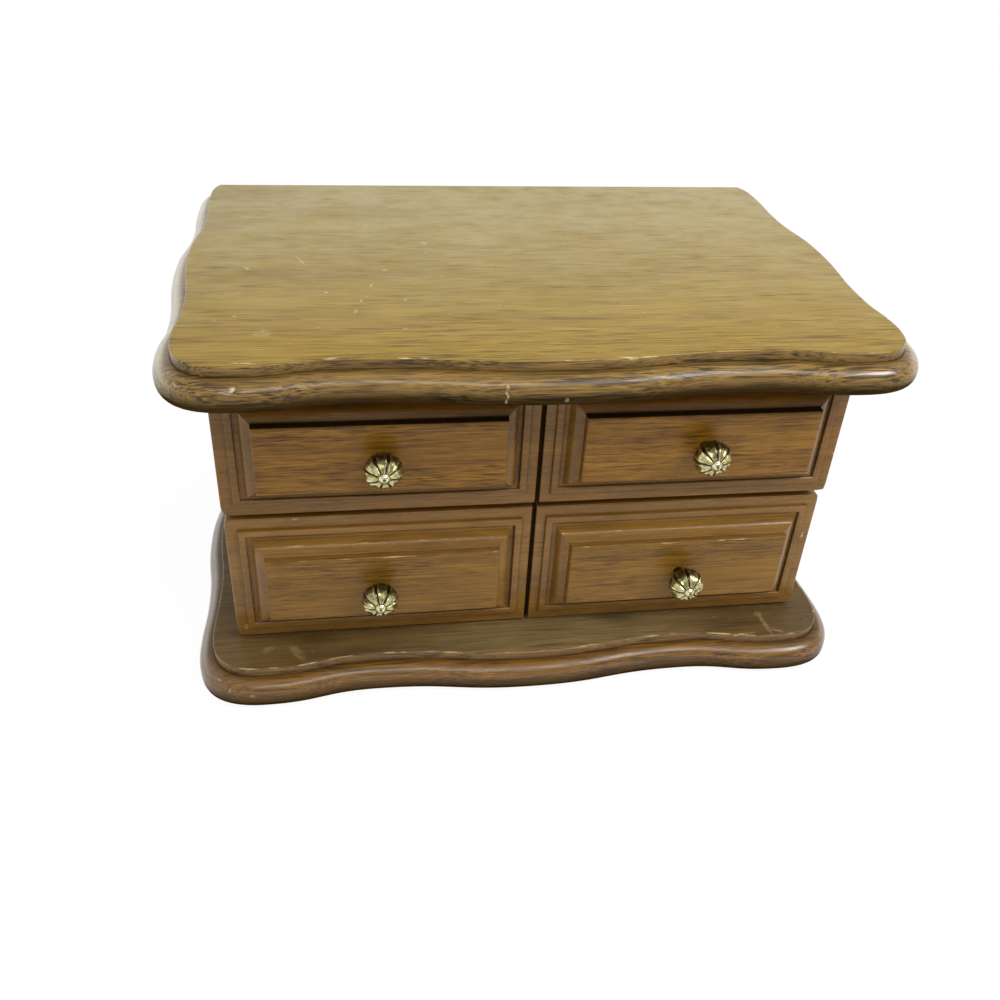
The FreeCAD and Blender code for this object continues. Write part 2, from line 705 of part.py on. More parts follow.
def build():
    os.makedirs("parts", exist_ok=True)
    save("base_board", base_board())
    save("base_screws", Part.makeCompound(base_screws()))
    save("case_back", case_back())
    save("compartment_floor", compartment_floor())
    save("upper_front_backer", upper_backer())
    save("upper_front", upper_front())
    save("lid_board", lid_board())
    save("mirror_glass", mirror_glass())
    save("mirror_frame", mirror_frame())
    save("drawer_front", drawer_front())
    save("drawer_inner_front", drawer_inner_front())
    save("drawer_back", drawer_back())
    save("drawer_bottom", drawer_bottom())
    save("ring_platform", ring_platform())
    cast_knob = knob()
    for label, side in SIDES:
        save("case_side_" + label, case_side(side))
        save("drawer_runner_" + label, drawer_runner(side))
        save("drawer_side_" + label, drawer_side(side))
        save("hinge_leaf_fixed_" + label, fixed_leaf(side))
        save("hinge_leaf_moving_" + label, moving_leaf(side))
        save("hinge_pin_" + label, hinge_pin(side))
        save("upper_knob_" + label,
             placed(cast_knob, side * KNOB_X, upper_field_y(), knob_height(UPPER_FRONT_Z)))
        save("drawer_knob_" + label,
             placed(cast_knob, side * KNOB_X, drawer_field_y(), knob_height(DRAWER_FRONT_Z)))
    for name, z, way in (("hinge_screws_case", CASE_TOP, -1), ("hinge_screws_lid", LID_Z, 1)):
        screws = [screw for _, side in SIDES for screw in leaf_screws(side, z, way)]
        save(name, Part.makeCompound(screws))
    save("upper_knob_screws", Part.makeCompound([
        knob_screw(side * KNOB_X, upper_field_y(), knob_height(UPPER_FRONT_Z), CASE_FRONT_Y)
        for _, side in SIDES]))
    save("drawer_knob_screws", Part.makeCompound([
        knob_screw(side * KNOB_X, drawer_field_y(), knob_height(DRAWER_FRONT_Z),
                   CASE_FRONT_Y + DRAWER_WALL)
        for _, side in SIDES]))
    inner_x = DRAWER_X - DRAWER_WALL
    drawer_lining = lining("drawer", inner_x, CASE_FRONT_Y + DRAWER_WALL,
                           DRAWER_END_Y - DRAWER_WALL, drawer_bottom_z() + DRAWER_BOTTOM_T,
                           DRAWER_TOP)
    room_lining = lining("compartment", INSIDE_X, CASE_FRONT_Y, INSIDE_BACK_Y, FLOOR_TOP, CASE_TOP)
    save("lid_bumpers", Part.makeCompound(lid_bumpers()))
    groups = (felt_pads(), drawer_lining, room_lining, partitions(), ring_rolls())
    for group in groups:
        for name, shape in group:
            save(name, shape)


build()
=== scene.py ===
import math

import bmesh
import bpy
from mathutils import Matrix, Vector, noise


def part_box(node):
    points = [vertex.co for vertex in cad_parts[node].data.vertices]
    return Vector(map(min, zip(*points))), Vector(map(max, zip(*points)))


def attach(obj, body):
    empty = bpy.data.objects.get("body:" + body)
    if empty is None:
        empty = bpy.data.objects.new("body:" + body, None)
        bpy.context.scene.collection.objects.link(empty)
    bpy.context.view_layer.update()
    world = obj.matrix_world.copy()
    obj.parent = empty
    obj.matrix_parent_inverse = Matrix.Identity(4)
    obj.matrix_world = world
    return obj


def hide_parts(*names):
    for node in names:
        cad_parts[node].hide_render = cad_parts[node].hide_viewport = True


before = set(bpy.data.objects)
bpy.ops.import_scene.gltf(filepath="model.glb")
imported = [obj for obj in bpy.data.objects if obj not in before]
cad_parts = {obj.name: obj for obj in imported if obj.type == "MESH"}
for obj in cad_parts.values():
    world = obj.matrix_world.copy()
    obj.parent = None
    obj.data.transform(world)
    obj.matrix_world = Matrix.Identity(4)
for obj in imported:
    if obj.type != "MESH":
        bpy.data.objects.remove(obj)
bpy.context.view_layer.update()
MM = 0.001


def put(name, data):
    """A new object in the scene."""
    item = bpy.data.objects.new(name, data)
    bpy.context.scene.collection.objects.link(item)
    return item


def put_mesh(name, bm):
    """A new object with the mesh in the making, which is freed."""
    mesh = bpy.data.meshes.new(name)
    bm.to_mesh(mesh)
    bm.free()
    return put(name, mesh)


class Shader:
    """Nodes of a material or world: the methods add nodes and return their outputs."""

    def __init__(self, owner):
        self.owner = owner
        self.owner.use_nodes = True
        self.tree = self.owner.node_tree
        self.tree.nodes.clear()

    def add(self, kind, inputs=None, **settings):
        node = self.tree.nodes.new("ShaderNode" + kind)
        for key, value in settings.items():
            setattr(node, key, value)
        for key, value in (inputs or {}).items():
            self.plug(node.inputs[key], value)
        return node

    def plug(self, socket, value):
        if isinstance(value, bpy.types.NodeSocket):
            self.tree.links.new(value, socket)
        elif hasattr(value, "__len__") and len(value) == 3 and socket.type == "RGBA":
            socket.default_value = (*value, 1.0)
        else:
            socket.default_value = value

    def place(self):
        return self.add("TexCoord").outputs["Object"]

    def grain(self, place, axis, along, across, seed=0.0):
        """Coordinates whose unit is along mm on the grain axis and across mm on the others."""
        scale = [1 / (across * MM)] * 3
        scale[axis] = 1 / (along * MM)
        shift = (seed * 1.7, seed * 2.3, seed * 3.1)
        mapping = self.add("Mapping", {"Vector": place, "Scale": scale, "Location": shift})
        return mapping.outputs[0]

    def noise(self, vector, detail=2.0, rough=0.5, distortion=0.0):
        return self.add("TexNoise", {"Vector": vector, "Scale": 1.0, "Detail": detail,
                                     "Roughness": rough, "Distortion": distortion}).outputs[0]

    def span(self, value, low, high, start=0.0, end=1.0):
        """Stretch a value's range from low to high over start to end, held at both."""
        return self.add("MapRange", {0: value, 1: low, 2: high, 3: start, 4: end}).outputs[0]

    def calc(self, operation, first, second=0.0):
        node = self.add("Math", {0: first, 1: second}, operation=operation)
        return node.outputs[0]

    def mix(self, factor, first, second):
        node = self.add("Mix", {0: factor, 6: first, 7: second}, data_type="RGBA")
        return node.outputs[2]

    def mark(self, name):
        """A value that the mesh carries."""
        return self.add("Attribute", attribute_name=name).outputs["Fac"]

    def spots(self, place, marks):
        """Soft ellipsoid marks: centre x, y, z, half length, half width, turn about Z, strength."""
        total = 0.0
        for x, y, z, along, across, turn, strength in marks:
            local = self.add("Mapping", {
                "Vector": place, "Location": (x * MM, y * MM, z * MM),
                "Rotation": (0.0, 0.0, math.radians(turn)),
                "Scale": (along * MM, across * MM, max(across, 1.2) * MM)}, vector_type="TEXTURE")
            off = self.add("VectorMath", {0: local.outputs[0]}, operation="LENGTH").outputs[1]
            total = self.calc("MAXIMUM", total, self.span(off, 1.0, 0.45, 0.0, strength))
        return total

    def bump(self, height, depth, strength=1.0):
        node = self.add("Bump", {"Height": height, "Strength": strength, "Distance": depth * MM})
        return node.outputs[0]

    def finish(self, **surface):
        names = {key.replace("_", " ").title().replace("Ior", "IOR"): value
                 for key, value in surface.items()}
        shader = self.add("BsdfPrincipled", names)
        self.add("OutputMaterial", {0: shader.outputs[0]})
        return self.owner


def new_material(name):
    return Shader(bpy.data.materials.new(name))


def srgb(r, g, b):
    """A colour as a screen shows it, 0 to 255, made linear."""
    return tuple((v / 255) ** 2.2 for v in (r, g, b))


def darker(colour, share):
    return tuple(v * share for v in colour)


# In metres on the part: where the dust film begins and where it lies thickest, on the lid also a painted
# pale reflection towards the back, the ends of the boards with their painted pale reflection, and
# the strip at the left that isn't rubbed
FILM_DEPTH = (-0.08, 0.07)
SHEEN_DEPTH = (-0.10, -0.065)
LEFT_END, RIGHT_END = (-0.129, -0.138), (0.128, 0.139)
UNRUBBED = (-0.128, -0.118)
SPECK_PITCH = 26.0
EDGE_SHADE, DULL_SHADE = 0.7, 0.6


def wood_grain(s, place, axis, seed, size, edge, edge_grain):
    """Tone, clouds, fibres, pore pits and dark streaks; edge_grain is the strength on edges."""
    broad = s.noise(s.grain(place, axis, 110, 9, seed), 3.0, 0.55, 0.4)
    cloud = s.noise(s.grain(place, axis, 40, 24, seed + 3), 2.0)
    fibre = s.noise(s.grain(place, axis, 30, 0.45, seed + 5), 3.0, 0.6)
    pit = s.noise(s.grain(place, axis, 15 * size, 0.7 * size, seed + 7), 2.0)
    streak = s.noise(s.grain(place, axis, 32 * size, 1.6 * size, seed + 9), 3.0, 0.6)
    gate = s.span(s.noise(s.grain(place, axis, 60, 8, seed + 11), 2.0), 0.38, 0.6)
    pit = s.calc("MULTIPLY", s.span(pit, 0.52, 0.66), s.span(gate, 0.0, 1.0, 0.35, 1.0))
    streak = s.calc("MULTIPLY", s.span(streak, 0.5, 0.68), gate)
    strength = s.span(edge, 0.0, 1.0, 1.0, edge_grain)
    figure = s.noise(s.grain(place, axis, 16 * size, 2.4 * size, seed + 13), 2.0)
    tone = s.calc("ADD", s.calc("MULTIPLY", broad, 0.6), s.calc("MULTIPLY", figure, 0.4))
    return (s.span(tone, 0.36, 0.64), cloud, fibre, s.calc("MULTIPLY", pit, strength),
            s.calc("MULTIPLY", streak, strength))


def add_dust_and_sheen(s, place, colour, edge, seed, dust_and_sheen, film_tint, settle, end_sheen):
    """Dust on what faces up: a film that thickens to the back, on the lid also a painted pale reflection
    there, and a painted pale reflection at the ends.
    """
    film = s.noise(s.grain(place, 0, 12, 7, seed + 2), 6.0, 0.65)
    x, y, _ = s.add("SeparateXYZ", {0: place}).outputs
    facing = s.add("SeparateXYZ", {0: s.add("TexCoord").outputs["Normal"]}).outputs[2]
    settled = s.calc("MULTIPLY", s.span(y, *FILM_DEPTH, *settle), s.span(facing, 0.4, 0.9))
    film = s.calc("MULTIPLY", s.span(film, 0.25, 0.8, 0.2 * dust_and_sheen, dust_and_sheen), settled)
    film = s.calc("MULTIPLY", film, s.calc("SUBTRACT", 1.0, edge))
    ends = s.calc("MAXIMUM", s.span(x, *LEFT_END, 0.0, 0.7), s.span(x, *RIGHT_END, 0.0, 0.5))
    ends = s.calc("MULTIPLY", s.calc("MULTIPLY", ends, edge), s.span(y, *SHEEN_DEPTH, 0.6, 1.0))
    ends = s.calc("MULTIPLY", ends, s.span(facing, 0.05, 0.42))
    return s.mix(ends, s.mix(film, colour, film_tint), end_sheen)


def wood(name, pale, deep, pore, axis=0, seed=0.0, pores=0.8, streaks=0.5, size=1.0,
         edge_grain=0.3, rough=0.4, coat=0.15, shine=0.3, stain=(0.1, 0.06, 0.03),
         worn=(0.5, 0.4, 0.25), grime_and_shade=(0.02, 0.012, 0.006), dust_and_sheen=0.0, film_tint=None,
         settle=(0.1, 2.0), end_sheen=None, specks=0.0, marks=(), lit=(), dull=()):
    """Open-grained wood.

    A mesh says where it is dark by stain, where it is dirty or darkened with painted shade by grime, and
    where it is rubbed or carries painted highlight lines by wear. Seed and size set the grain, pores and
    streaks its strength. Spots in lit are paler, a painted pool of light; those in dull are darker, and
    marks are chipped.
    """
    s = new_material(name)
    place = s.place()
    edge = s.mark("stain")
    tone, cloud, fibre, pit, streak = wood_grain(s, place, axis, seed, size, edge, edge_grain)
    colour = s.mix(tone, pale, deep)
    colour = s.mix(s.span(cloud, 0.35, 0.7, 0.0, 0.35), colour, deep)
    if lit:
        colour = s.mix(s.spots(place, lit), colour, worn)
    colour = s.mix(edge, colour, s.mix(tone, stain, darker(stain, EDGE_SHADE)))
    pore = s.mix(edge, pore, darker(pore, EDGE_SHADE))
    lines = s.calc("MULTIPLY", s.span(fibre, 0.42, 0.70, 0.0, 0.65),
                   s.span(edge, 0.0, 1.0, 1.0, min(1.0, edge_grain)))
    colour = s.mix(lines, colour, pore)
    colour = s.mix(s.calc("MULTIPLY", streak, streaks), colour, pore)
    colour = s.mix(s.calc("MULTIPLY", pit, pores), colour, pore)
    # Darker where the mesh marks grime, which on fronts and board noses includes painted shade
    colour = s.mix(s.mark("grime_and_shade"), colour, grime_and_shade)
    if dust_and_sheen:
        colour = add_dust_and_sheen(s, place, colour, edge, seed, dust_and_sheen, film_tint, settle, end_sheen)
    if dull:
        colour = s.mix(s.spots(place, dull), colour, darker(stain, DULL_SHADE))
    if specks:
        cells = s.add("TexVoronoi", {"Vector": place, "Scale": 1 / (SPECK_PITCH * MM)},
                      voronoi_dimensions="2D").outputs["Distance"]
        flecks = s.calc("MULTIPLY", s.span(cells, 0.022, 0.008, 0.0, specks),
                        s.calc("SUBTRACT", 1.0, edge))
        colour = s.mix(flecks, colour, worn)
    # Paler where the mesh marks wear, which on the drawer front includes painted highlight lines
    patch = s.noise(s.grain(place, 0, 9, 3, seed))
    paler = s.span(s.calc("ADD", patch, s.calc("MULTIPLY", s.mark("wear_and_highlight"), 0.5)), 0.86, 1.0)
    if dust_and_sheen:
        x = s.add("SeparateXYZ", {0: place}).outputs[0]
        paler = s.calc("MULTIPLY", paler, s.span(x, *UNRUBBED, 0.15, 1.0))
    colour = s.mix(paler, colour, worn)
    if marks:
        ragged = s.noise(s.grain(place, 0, 1.6, 1.1, seed), 2.0)
        ragged = s.span(ragged, 0.36, 0.6, 0.25, 1.0)
        colour = s.mix(s.calc("MULTIPLY", s.spots(place, marks), ragged), colour, worn)
    gloss = s.calc("ADD", s.span(cloud, 0.3, 0.7, rough - 0.05, rough + 0.07),
                   s.calc("MULTIPLY", pit, 0.15))
    gloss = s.calc("SUBTRACT", gloss, s.calc("MULTIPLY", edge, rough * 0.3))
    height = s.calc("ADD", s.calc("MULTIPLY", fibre, 0.35), s.calc("MULTIPLY", pit, -0.6))
    not_darkened = s.span(s.mark("grime_and_shade"), 0.0, 0.8, 1.0, 0.0)
    return s.finish(base_color=colour, roughness=gloss,
                    coat_weight=s.calc("MULTIPLY", s.calc("MULTIPLY", edge, coat), not_darkened),
                    coat_roughness=0.24, specular_ior_level=s.calc("MULTIPLY", not_darkened, shine),
                    normal=s.bump(height, 0.06, 0.7))


def cast_brass(name):
    """Aged brass; a mesh says where it is dark, by patina in its hollows, painted shade and a painted
    dark reflection, and where it is polished.
    """
    s = new_material(name)
    place = s.place()
    blot = s.noise(s.grain(place, 0, 2.4, 2.4), 4.0, 0.6)
    speck = s.noise(s.grain(place, 0, 0.7, 0.7, 4), 2.0)
    colour = s.mix(s.span(blot, 0.35, 0.65), (0.86, 0.77, 0.36), (0.46, 0.41, 0.15))
    colour = s.mix(s.span(speck, 0.58, 0.72, 0.0, 0.5), colour, (0.12, 0.10, 0.05))
    colour = s.mix(s.mark("grime_and_shade"), colour, (0.03, 0.024, 0.012))
    colour = s.mix(s.mark("wear_and_highlight"), colour, (0.97, 0.92, 0.66))
    gloss = s.calc("ADD", s.span(blot, 0.3, 0.7, 0.13, 0.26),
                   s.calc("MULTIPLY", s.mark("grime_and_shade"), 0.12))
    return s.finish(base_color=colour, metallic=1.0, roughness=gloss,
                    normal=s.bump(s.calc("ADD", blot, s.calc("MULTIPLY", speck, 0.4)), 0.12, 0.6))


def plain_metal(name, tint, shade, rough):
    """Brushed metal with a few dark patches of oxide."""
    s = new_material(name)
    place = s.place()
    brushed = s.noise(s.grain(place, 0, 3.0, 0.12), 3.0, 0.6)
    dark_patch = s.noise(s.grain(place, 0, 4.0, 4.0, 2), 4.0, 0.6)
    colour = s.mix(s.span(dark_patch, 0.4, 0.7), tint, shade)
    return s.finish(base_color=colour, metallic=1.0,
                    roughness=s.span(brushed, 0.3, 0.7, rough - 0.06, rough + 0.1),
                    normal=s.bump(brushed, 0.02, 0.5))


def pile(name, tint, shade, length, sheen):
    """Velvet or felt: mottled nap with a soft sheen."""
    s = new_material(name)
    place = s.place()
    nap = s.noise(s.grain(place, 0, 14, 9), 3.0, 0.6, 0.6)
    fuzz = s.noise(s.grain(place, 0, length, length, 3), 4.0, 0.75)
    colour = s.mix(s.span(nap, 0.35, 0.68), tint, shade)
    colour = s.mix(s.span(fuzz, 0.3, 0.75, 0.0, 0.55), colour, darker(shade, 0.4))
    return s.finish(base_color=colour, roughness=s.span(nap, 0.3, 0.7, 0.8, 0.95),
                    sheen_weight=sheen, sheen_roughness=0.35, specular_ior_level=0.15,
                    normal=s.bump(fuzz, 0.25, 0.8))


def silvered(name):
    """Mirror glass with a few blind spots in its silver."""
    s = new_material(name)
    place = s.place()
    spot = s.noise(s.grain(place, 0, 5, 5), 5.0, 0.7)
    colour = s.mix(s.span(spot, 0.66, 0.74, 0.0, 0.25), (0.90, 0.92, 0.91), (0.45, 0.43, 0.38))
    return s.finish(base_color=colour, metallic=1.0, roughness=s.span(spot, 0.5, 0.8, 0.015, 0.05))


LID_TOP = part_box("lid_board")[1][2] / MM
BASE_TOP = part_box("base_board")[1][2] / MM


def on_top(level, spots):
    """Spots given without their height, put at a level."""
    return [(x, y, level, *rest) for x, y, *rest in spots]


# Soft patches, then scratches, specks and chips, as seen in the photo, in millimetres:
# centre x, y, z, half length, half width, turn about Z in degrees, strength
LID_DULL = on_top(LID_TOP, [
    (-124.0, 84.0, 30.0, 17.0, 0, 0.32), (-134.0, 45.0, 22.0, 22.0, 0, 0.3),
    (-66.0, 58.0, 60.0, 12.0, 2, 0.16), (-88.0, -17.0, 52.0, 15.0, 0, 0.22),
    (-92.0, -60.0, 42.0, 13.0, 0, 0.2), (-120.0, -98.0, 12.0, 5.0, -20, 0.25),
    (40.0, 70.0, 55.0, 12.0, 0, 0.1), (10.0, -20.0, 60.0, 9.0, 0, 0.12),
    (-10.0, -62.0, 50.0, 8.0, 0, 0.14),
])
LID_MARKS = on_top(LID_TOP, [
    (-91.0, -2.6, 6.6, 0.45, -66, 0.6), (-112.0, -10.2, 2.4, 0.9, -60, 0.6),
    (-63.3, 39.6, 0.9, 0.7, 0, 0.8), (-39.2, 17.0, 2.6, 1.4, -70, 0.5),
    (-39.6, 5.5, 1.6, 0.8, 40, 0.5), (-57.5, -13.2, 1.3, 0.8, 0, 0.9),
    (-63.7, -28.8, 2.8, 0.55, 75, 0.75), (-67.9, -43.5, 2.6, 0.6, 72, 0.7),
    (-70.3, -53.5, 2.6, 0.8, 75, 0.5), (-80.9, -35.3, 0.9, 0.7, 0, 0.9),
    (-51.3, -43.1, 0.9, 0.6, 0, 0.8), (-103.0, -70.8, 4.2, 3.4, 20, 0.3),
    (-113.5, -56.0, 1.1, 0.9, 0, 0.5), (-53.2, -69.0, 1.6, 0.6, 0, 0.6),
    (-108.4, -93.6, 5.0, 0.7, -4, 0.9), (-79.8, -91.4, 3.0, 0.6, 8, 0.8),
    (22.6, -95.4, 5.0, 0.7, -8, 1.0), (-15.0, 21.0, 9.0, 0.3, 17, 0.25),
    (31.0, 44.0, 7.0, 0.3, -35, 0.2), (-99.0, 25.0, 5.0, 0.4, -30, 0.35),
]) + [
    (-112.2, -101.0, 155.3, 2.3, 0.9, 35, 0.95), (-20.4, -101.9, 154.0, 0.8, 1.0, 0, 0.8),
    (-20.9, -102.0, 152.3, 0.45, 1.2, 0, 0.7), (-20.3, -102.2, 150.8, 0.4, 1.2, 0, 0.6),
    (-20.8, -101.9, 148.8, 0.6, 1.0, 0, 0.7), (0.2, -102.8, 149.2, 1.0, 0.9, 0, 0.6),
]
BASE_MARKS = on_top(BASE_TOP, [
    (107.6, -73.1, 2.4, 2.0, 0, 0.45), (108.3, -80.0, 9.0, 1.3, -84, 0.5),
    (95.5, -85.6, 7.0, 0.8, 4, 0.9), (112.0, -84.5, 5.0, 1.0, -25, 0.4),
    (-100.0, -79.0, 7.0, 2.6, -60, 0.3), (-112.0, -76.0, 4.0, 2.2, 40, 0.25),
]) + [(-127.9, -91.3, 10.2, 0.9, 0.8, 0, 0.9), (-118.7, -93.9, 8.7, 1.5, 0.7, 0, 0.8)]
# A painted pool of light across the middle of the base top
BASE_LIT = on_top(BASE_TOP, [(15.0, -80.0, 85.0, 28.0, 0, 0.42)])
UPPER_MARKS = [(-38.5, -79.0, 86.4, 1.0, 3.0, 0, 0.8), (-33.0, -79.0, 90.8, 0.5, 3.0, 0, 0.7),
               (44.0, -79.0, 86.8, 0.6, 3.0, 0, 0.7), (-122.6, -73.0, 84.8, 2.2, 2.4, 0, 0.6)]
DRAWER_MARKS = [(-121.0, -68.0, 24.0, 1.0, 2.0, 0, 0.7), (122.0, -68.0, 58.0, 0.8, 2.0, 0, 0.7),
                (113.0, -69.4, 76.0, 0.7, 2.0, 0, 0.6)]
LID_WOOD = wood("lid_wood", srgb(182, 153, 60), srgb(162, 128, 42), srgb(80, 60, 26), seed=1.0,
                pores=0.7, streaks=0.8, size=0.9, edge_grain=1.9, rough=0.36, coat=0.8, shine=0.2,
                stain=srgb(162, 126, 62), worn=srgb(216, 200, 152), dust_and_sheen=0.62,
                film_tint=srgb(174, 160, 112), end_sheen=srgb(172, 158, 124), specks=0.35,
                marks=LID_MARKS, dull=LID_DULL)
UPPER_WOOD = wood("upper_front_wood", srgb(160, 114, 36), srgb(120, 82, 24), srgb(66, 42, 14),
                  seed=4.0, pores=0.9, streaks=0.85, size=0.65, rough=0.30,
                  stain=srgb(124, 88, 38), worn=srgb(190, 158, 108), marks=UPPER_MARKS)
DRAWER_WOOD = wood("drawer_front_wood", srgb(148, 108, 40), srgb(122, 88, 34), srgb(70, 48, 20),
                   seed=9.0, pores=0.75, streaks=0.75, size=0.65, rough=0.30,
                   stain=srgb(140, 102, 50), worn=srgb(190, 158, 108), marks=DRAWER_MARKS)
BASE_WOOD = wood("base_wood", srgb(122, 94, 46), srgb(90, 67, 32), srgb(40, 27, 12), seed=13.0,
                 pores=0.55, streaks=0.6, size=1.3, edge_grain=1.1, rough=0.36, coat=0.75, shine=0.3,
                 stain=srgb(148, 106, 48), worn=srgb(186, 164, 112), dust_and_sheen=0.7,
                 film_tint=srgb(114, 95, 66), settle=(0.8, 1.2), end_sheen=srgb(100, 88, 70),
                 specks=0.35, marks=BASE_MARKS, lit=BASE_LIT)
CASE_TONES = srgb(142, 102, 44), srgb(120, 84, 34), srgb(60, 40, 18)
CASE_WORN = srgb(190, 160, 110)
CASE_WOOD = wood("case_wood", *CASE_TONES, axis=1, seed=17.0, pores=0.6, streaks=0.5, rough=0.38,
                 worn=CASE_WORN)
BACK_WOOD = wood("case_back_wood", *CASE_TONES, seed=21.0, pores=0.6, streaks=0.5, rough=0.45,
                 worn=CASE_WORN)
INNER_TONES = srgb(202, 172, 128), srgb(184, 150, 106), srgb(138, 102, 66)
INNER_WOOD_X = wood("inner_wood_x", *INNER_TONES, seed=25.0, pores=0.4, streaks=0.35, rough=0.6,
                    coat=0.0)
INNER_WOOD_Y = wood("inner_wood_y", *INNER_TONES, axis=1, seed=29.0, pores=0.4, streaks=0.35,
                    rough=0.6, coat=0.0)
KNOB_BRASS = cast_brass("antique_brass")
BRASS = plain_metal("hinge_brass", (0.62, 0.46, 0.20), (0.40, 0.29, 0.13), rough=0.32)
STEEL = plain_metal("screw_steel", (0.52, 0.52, 0.50), (0.34, 0.33, 0.31), rough=0.34)
VELVET = pile("velvet", (0.20, 0.018, 0.035), (0.10, 0.008, 0.018), length=0.35, sheen=0.5)
FELT = pile("felt", (0.035, 0.075, 0.045), (0.022, 0.05, 0.03), length=0.6, sheen=0.3)
MIRROR = silvered("mirror")


def paint(material, *names):
    """Give a material to parts that show as the CAD has them."""
    for name in names:
        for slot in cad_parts[name].material_slots:
            slot.material = material


LR = ("left", "right")
paint(CASE_WOOD, *["case_side_" + side for side in LR])
paint(BACK_WOOD, "case_back", "upper_front_backer")
paint(INNER_WOOD_X, "compartment_floor", "drawer_inner_front", "drawer_back", "drawer_bottom")
paint(INNER_WOOD_Y, *["drawer_side_" + side for side in LR],
      *["drawer_runner_" + side for side in LR])
paint(LID_WOOD, "mirror_frame")
paint(MIRROR, "mirror_glass")
paint(BRASS, "hinge_screws_case", "hinge_screws_lid",
      *[part + side for part in ("hinge_leaf_fixed_", "hinge_leaf_moving_", "hinge_pin_") for side in LR])
paint(STEEL, "base_screws", "upper_knob_screws", "drawer_knob_screws")


def add_piece(name, bm, material, body, slot, *replaced, sharp=38.0):
    """Turn a mesh in the making into a piece that rides on a body and replaces CAD nodes."""
    bmesh.ops.recalc_face_normals(bm, faces=bm.faces)
    piece = put_mesh(name, bm)
    piece.data.shade_smooth()
    piece.data.set_sharp_from_angle(angle=math.radians(sharp))
    piece.data.materials.append(material)
    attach(piece, body)
    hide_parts(*replaced)
    return piece


def layers(bm):
    """Marks on the vertices that the materials read."""
    return [bm.verts.layers.float.new(key) for key in ("wear_and_highlight", "grime_and_shade", "stain")]


def bridge(bm, low, high):
    """Quads between two closed rings of vertices."""
    count = len(low)
    for i in range(count):
        j = (i + 1) % count
        bm.faces.new((low[i], low[j], high[j], high[i]))


def chip(point, centre, radius, depth, inward):
    """Push a point inward where something knocked the wood."""
    reach = (point - centre).length / radius
    return inward * (depth * max(0.0, 1 - reach * reach))


# Serpentine boards, in millimetres: thickness, height of the step, the ledge outside it, radius of
# the round nose and of the top edge
BOARD_T, STEP_H, LEDGE, NOSE_R, RIM_R = 15.8, 3.9, 0.5, 5.9, 0.45
HALF_W, BODY_D, FRONT_Y = 125.0, 165.0, -67.6
BACK_Y = FRONT_Y + BODY_D
# Points of the right half outline: across, behind the fronts, direction in degrees
LID_KNOTS = [
    (0.0, -29.2, 0), (73.0, -24.2, 0), (113.0, -28.6, 0), (134.2, -3.0, 90), (132.5, 17.0, 90),
    (136.3, 75.0, 90), (133.1, 116.0, 90), (134.2, 146.0, 90), (126.0, 173.0, 127),
]
BASE_KNOTS = [
    (0.0, -20.3, 0), (67.0, -15.2, 0), (113.0, -20.2, 0), (135.8, 4.0, 90), (134.8, 33.0, 90),
    (138.0, 83.0, 90), (135.0, 124.0, 90), (136.0, 150.0, 90), (128.0, 176.0, 127),
]
# Samples between two points; the curve round the front corner has longer handles
SAMPLES = 30
HANDLE, CORNER_HANDLE, CORNER_SPAN = 0.5, 0.7, 2
# Steps round the nose: the lower ones, facing down, are darkened with painted shade up to SHADE_END_STEP,
# and the last ones lie in the corner at the foot of the step, darkened with painted shade too
NOSE_STEPS, SHADE_END_STEP, FADE_STEPS, CORNER_STEP = 16, 9.9, 3.3, 14
NOSE_SHADE, CORNER_SHADE = 0.88, 0.3
# Clean bands in millimetres: of the underside next to the nose, and of the top within its edge
UNDERSIDE_BAND, TOP_BANDS = 2.5, (1.1, 3.2)


def half_outline(knots, grow):
    """Points and outward normals of the right half, from the front centre to the back."""
    found = []
    placed = []
    for x, y, angle in knots:
        along = Vector((math.cos(math.radians(angle)), math.sin(math.radians(angle))))
        out = Vector((along.y, -along.x))
        placed.append((Vector((x, FRONT_Y + y)) + out * grow, along))
    for i, ((a, a_dir), (d, d_dir)) in enumerate(zip(placed, placed[1:])):
        handle = CORNER_HANDLE if i == CORNER_SPAN else HANDLE
        b = a + a_dir * (handle * (d - a).dot(a_dir))
        c = d - d_dir * (handle * (d - a).dot(d_dir))
        for k in range(SAMPLES + (i == len(knots) - 2)):
            t = k / SAMPLES
            u = 1 - t
            point = a * u**3 + b * (3 * u * u * t) + c * (3 * u * t * t) + d * t**3
            slope = (b - a) * (u * u) + (c - b) * (2 * u * t) + (d - c) * (t * t)
            slope.normalize()
            found.append((point, Vector((slope.y, -slope.x))))
    return found


def outline(knots, grow):
    """Points and outward normals all round, grown outward by some millimetres."""
    right = half_outline(knots, grow)
    left = [(Vector((-p.x, p.y)), Vector((-n.x, n.y))) for p, n in reversed(right[1:])]
    return right + left


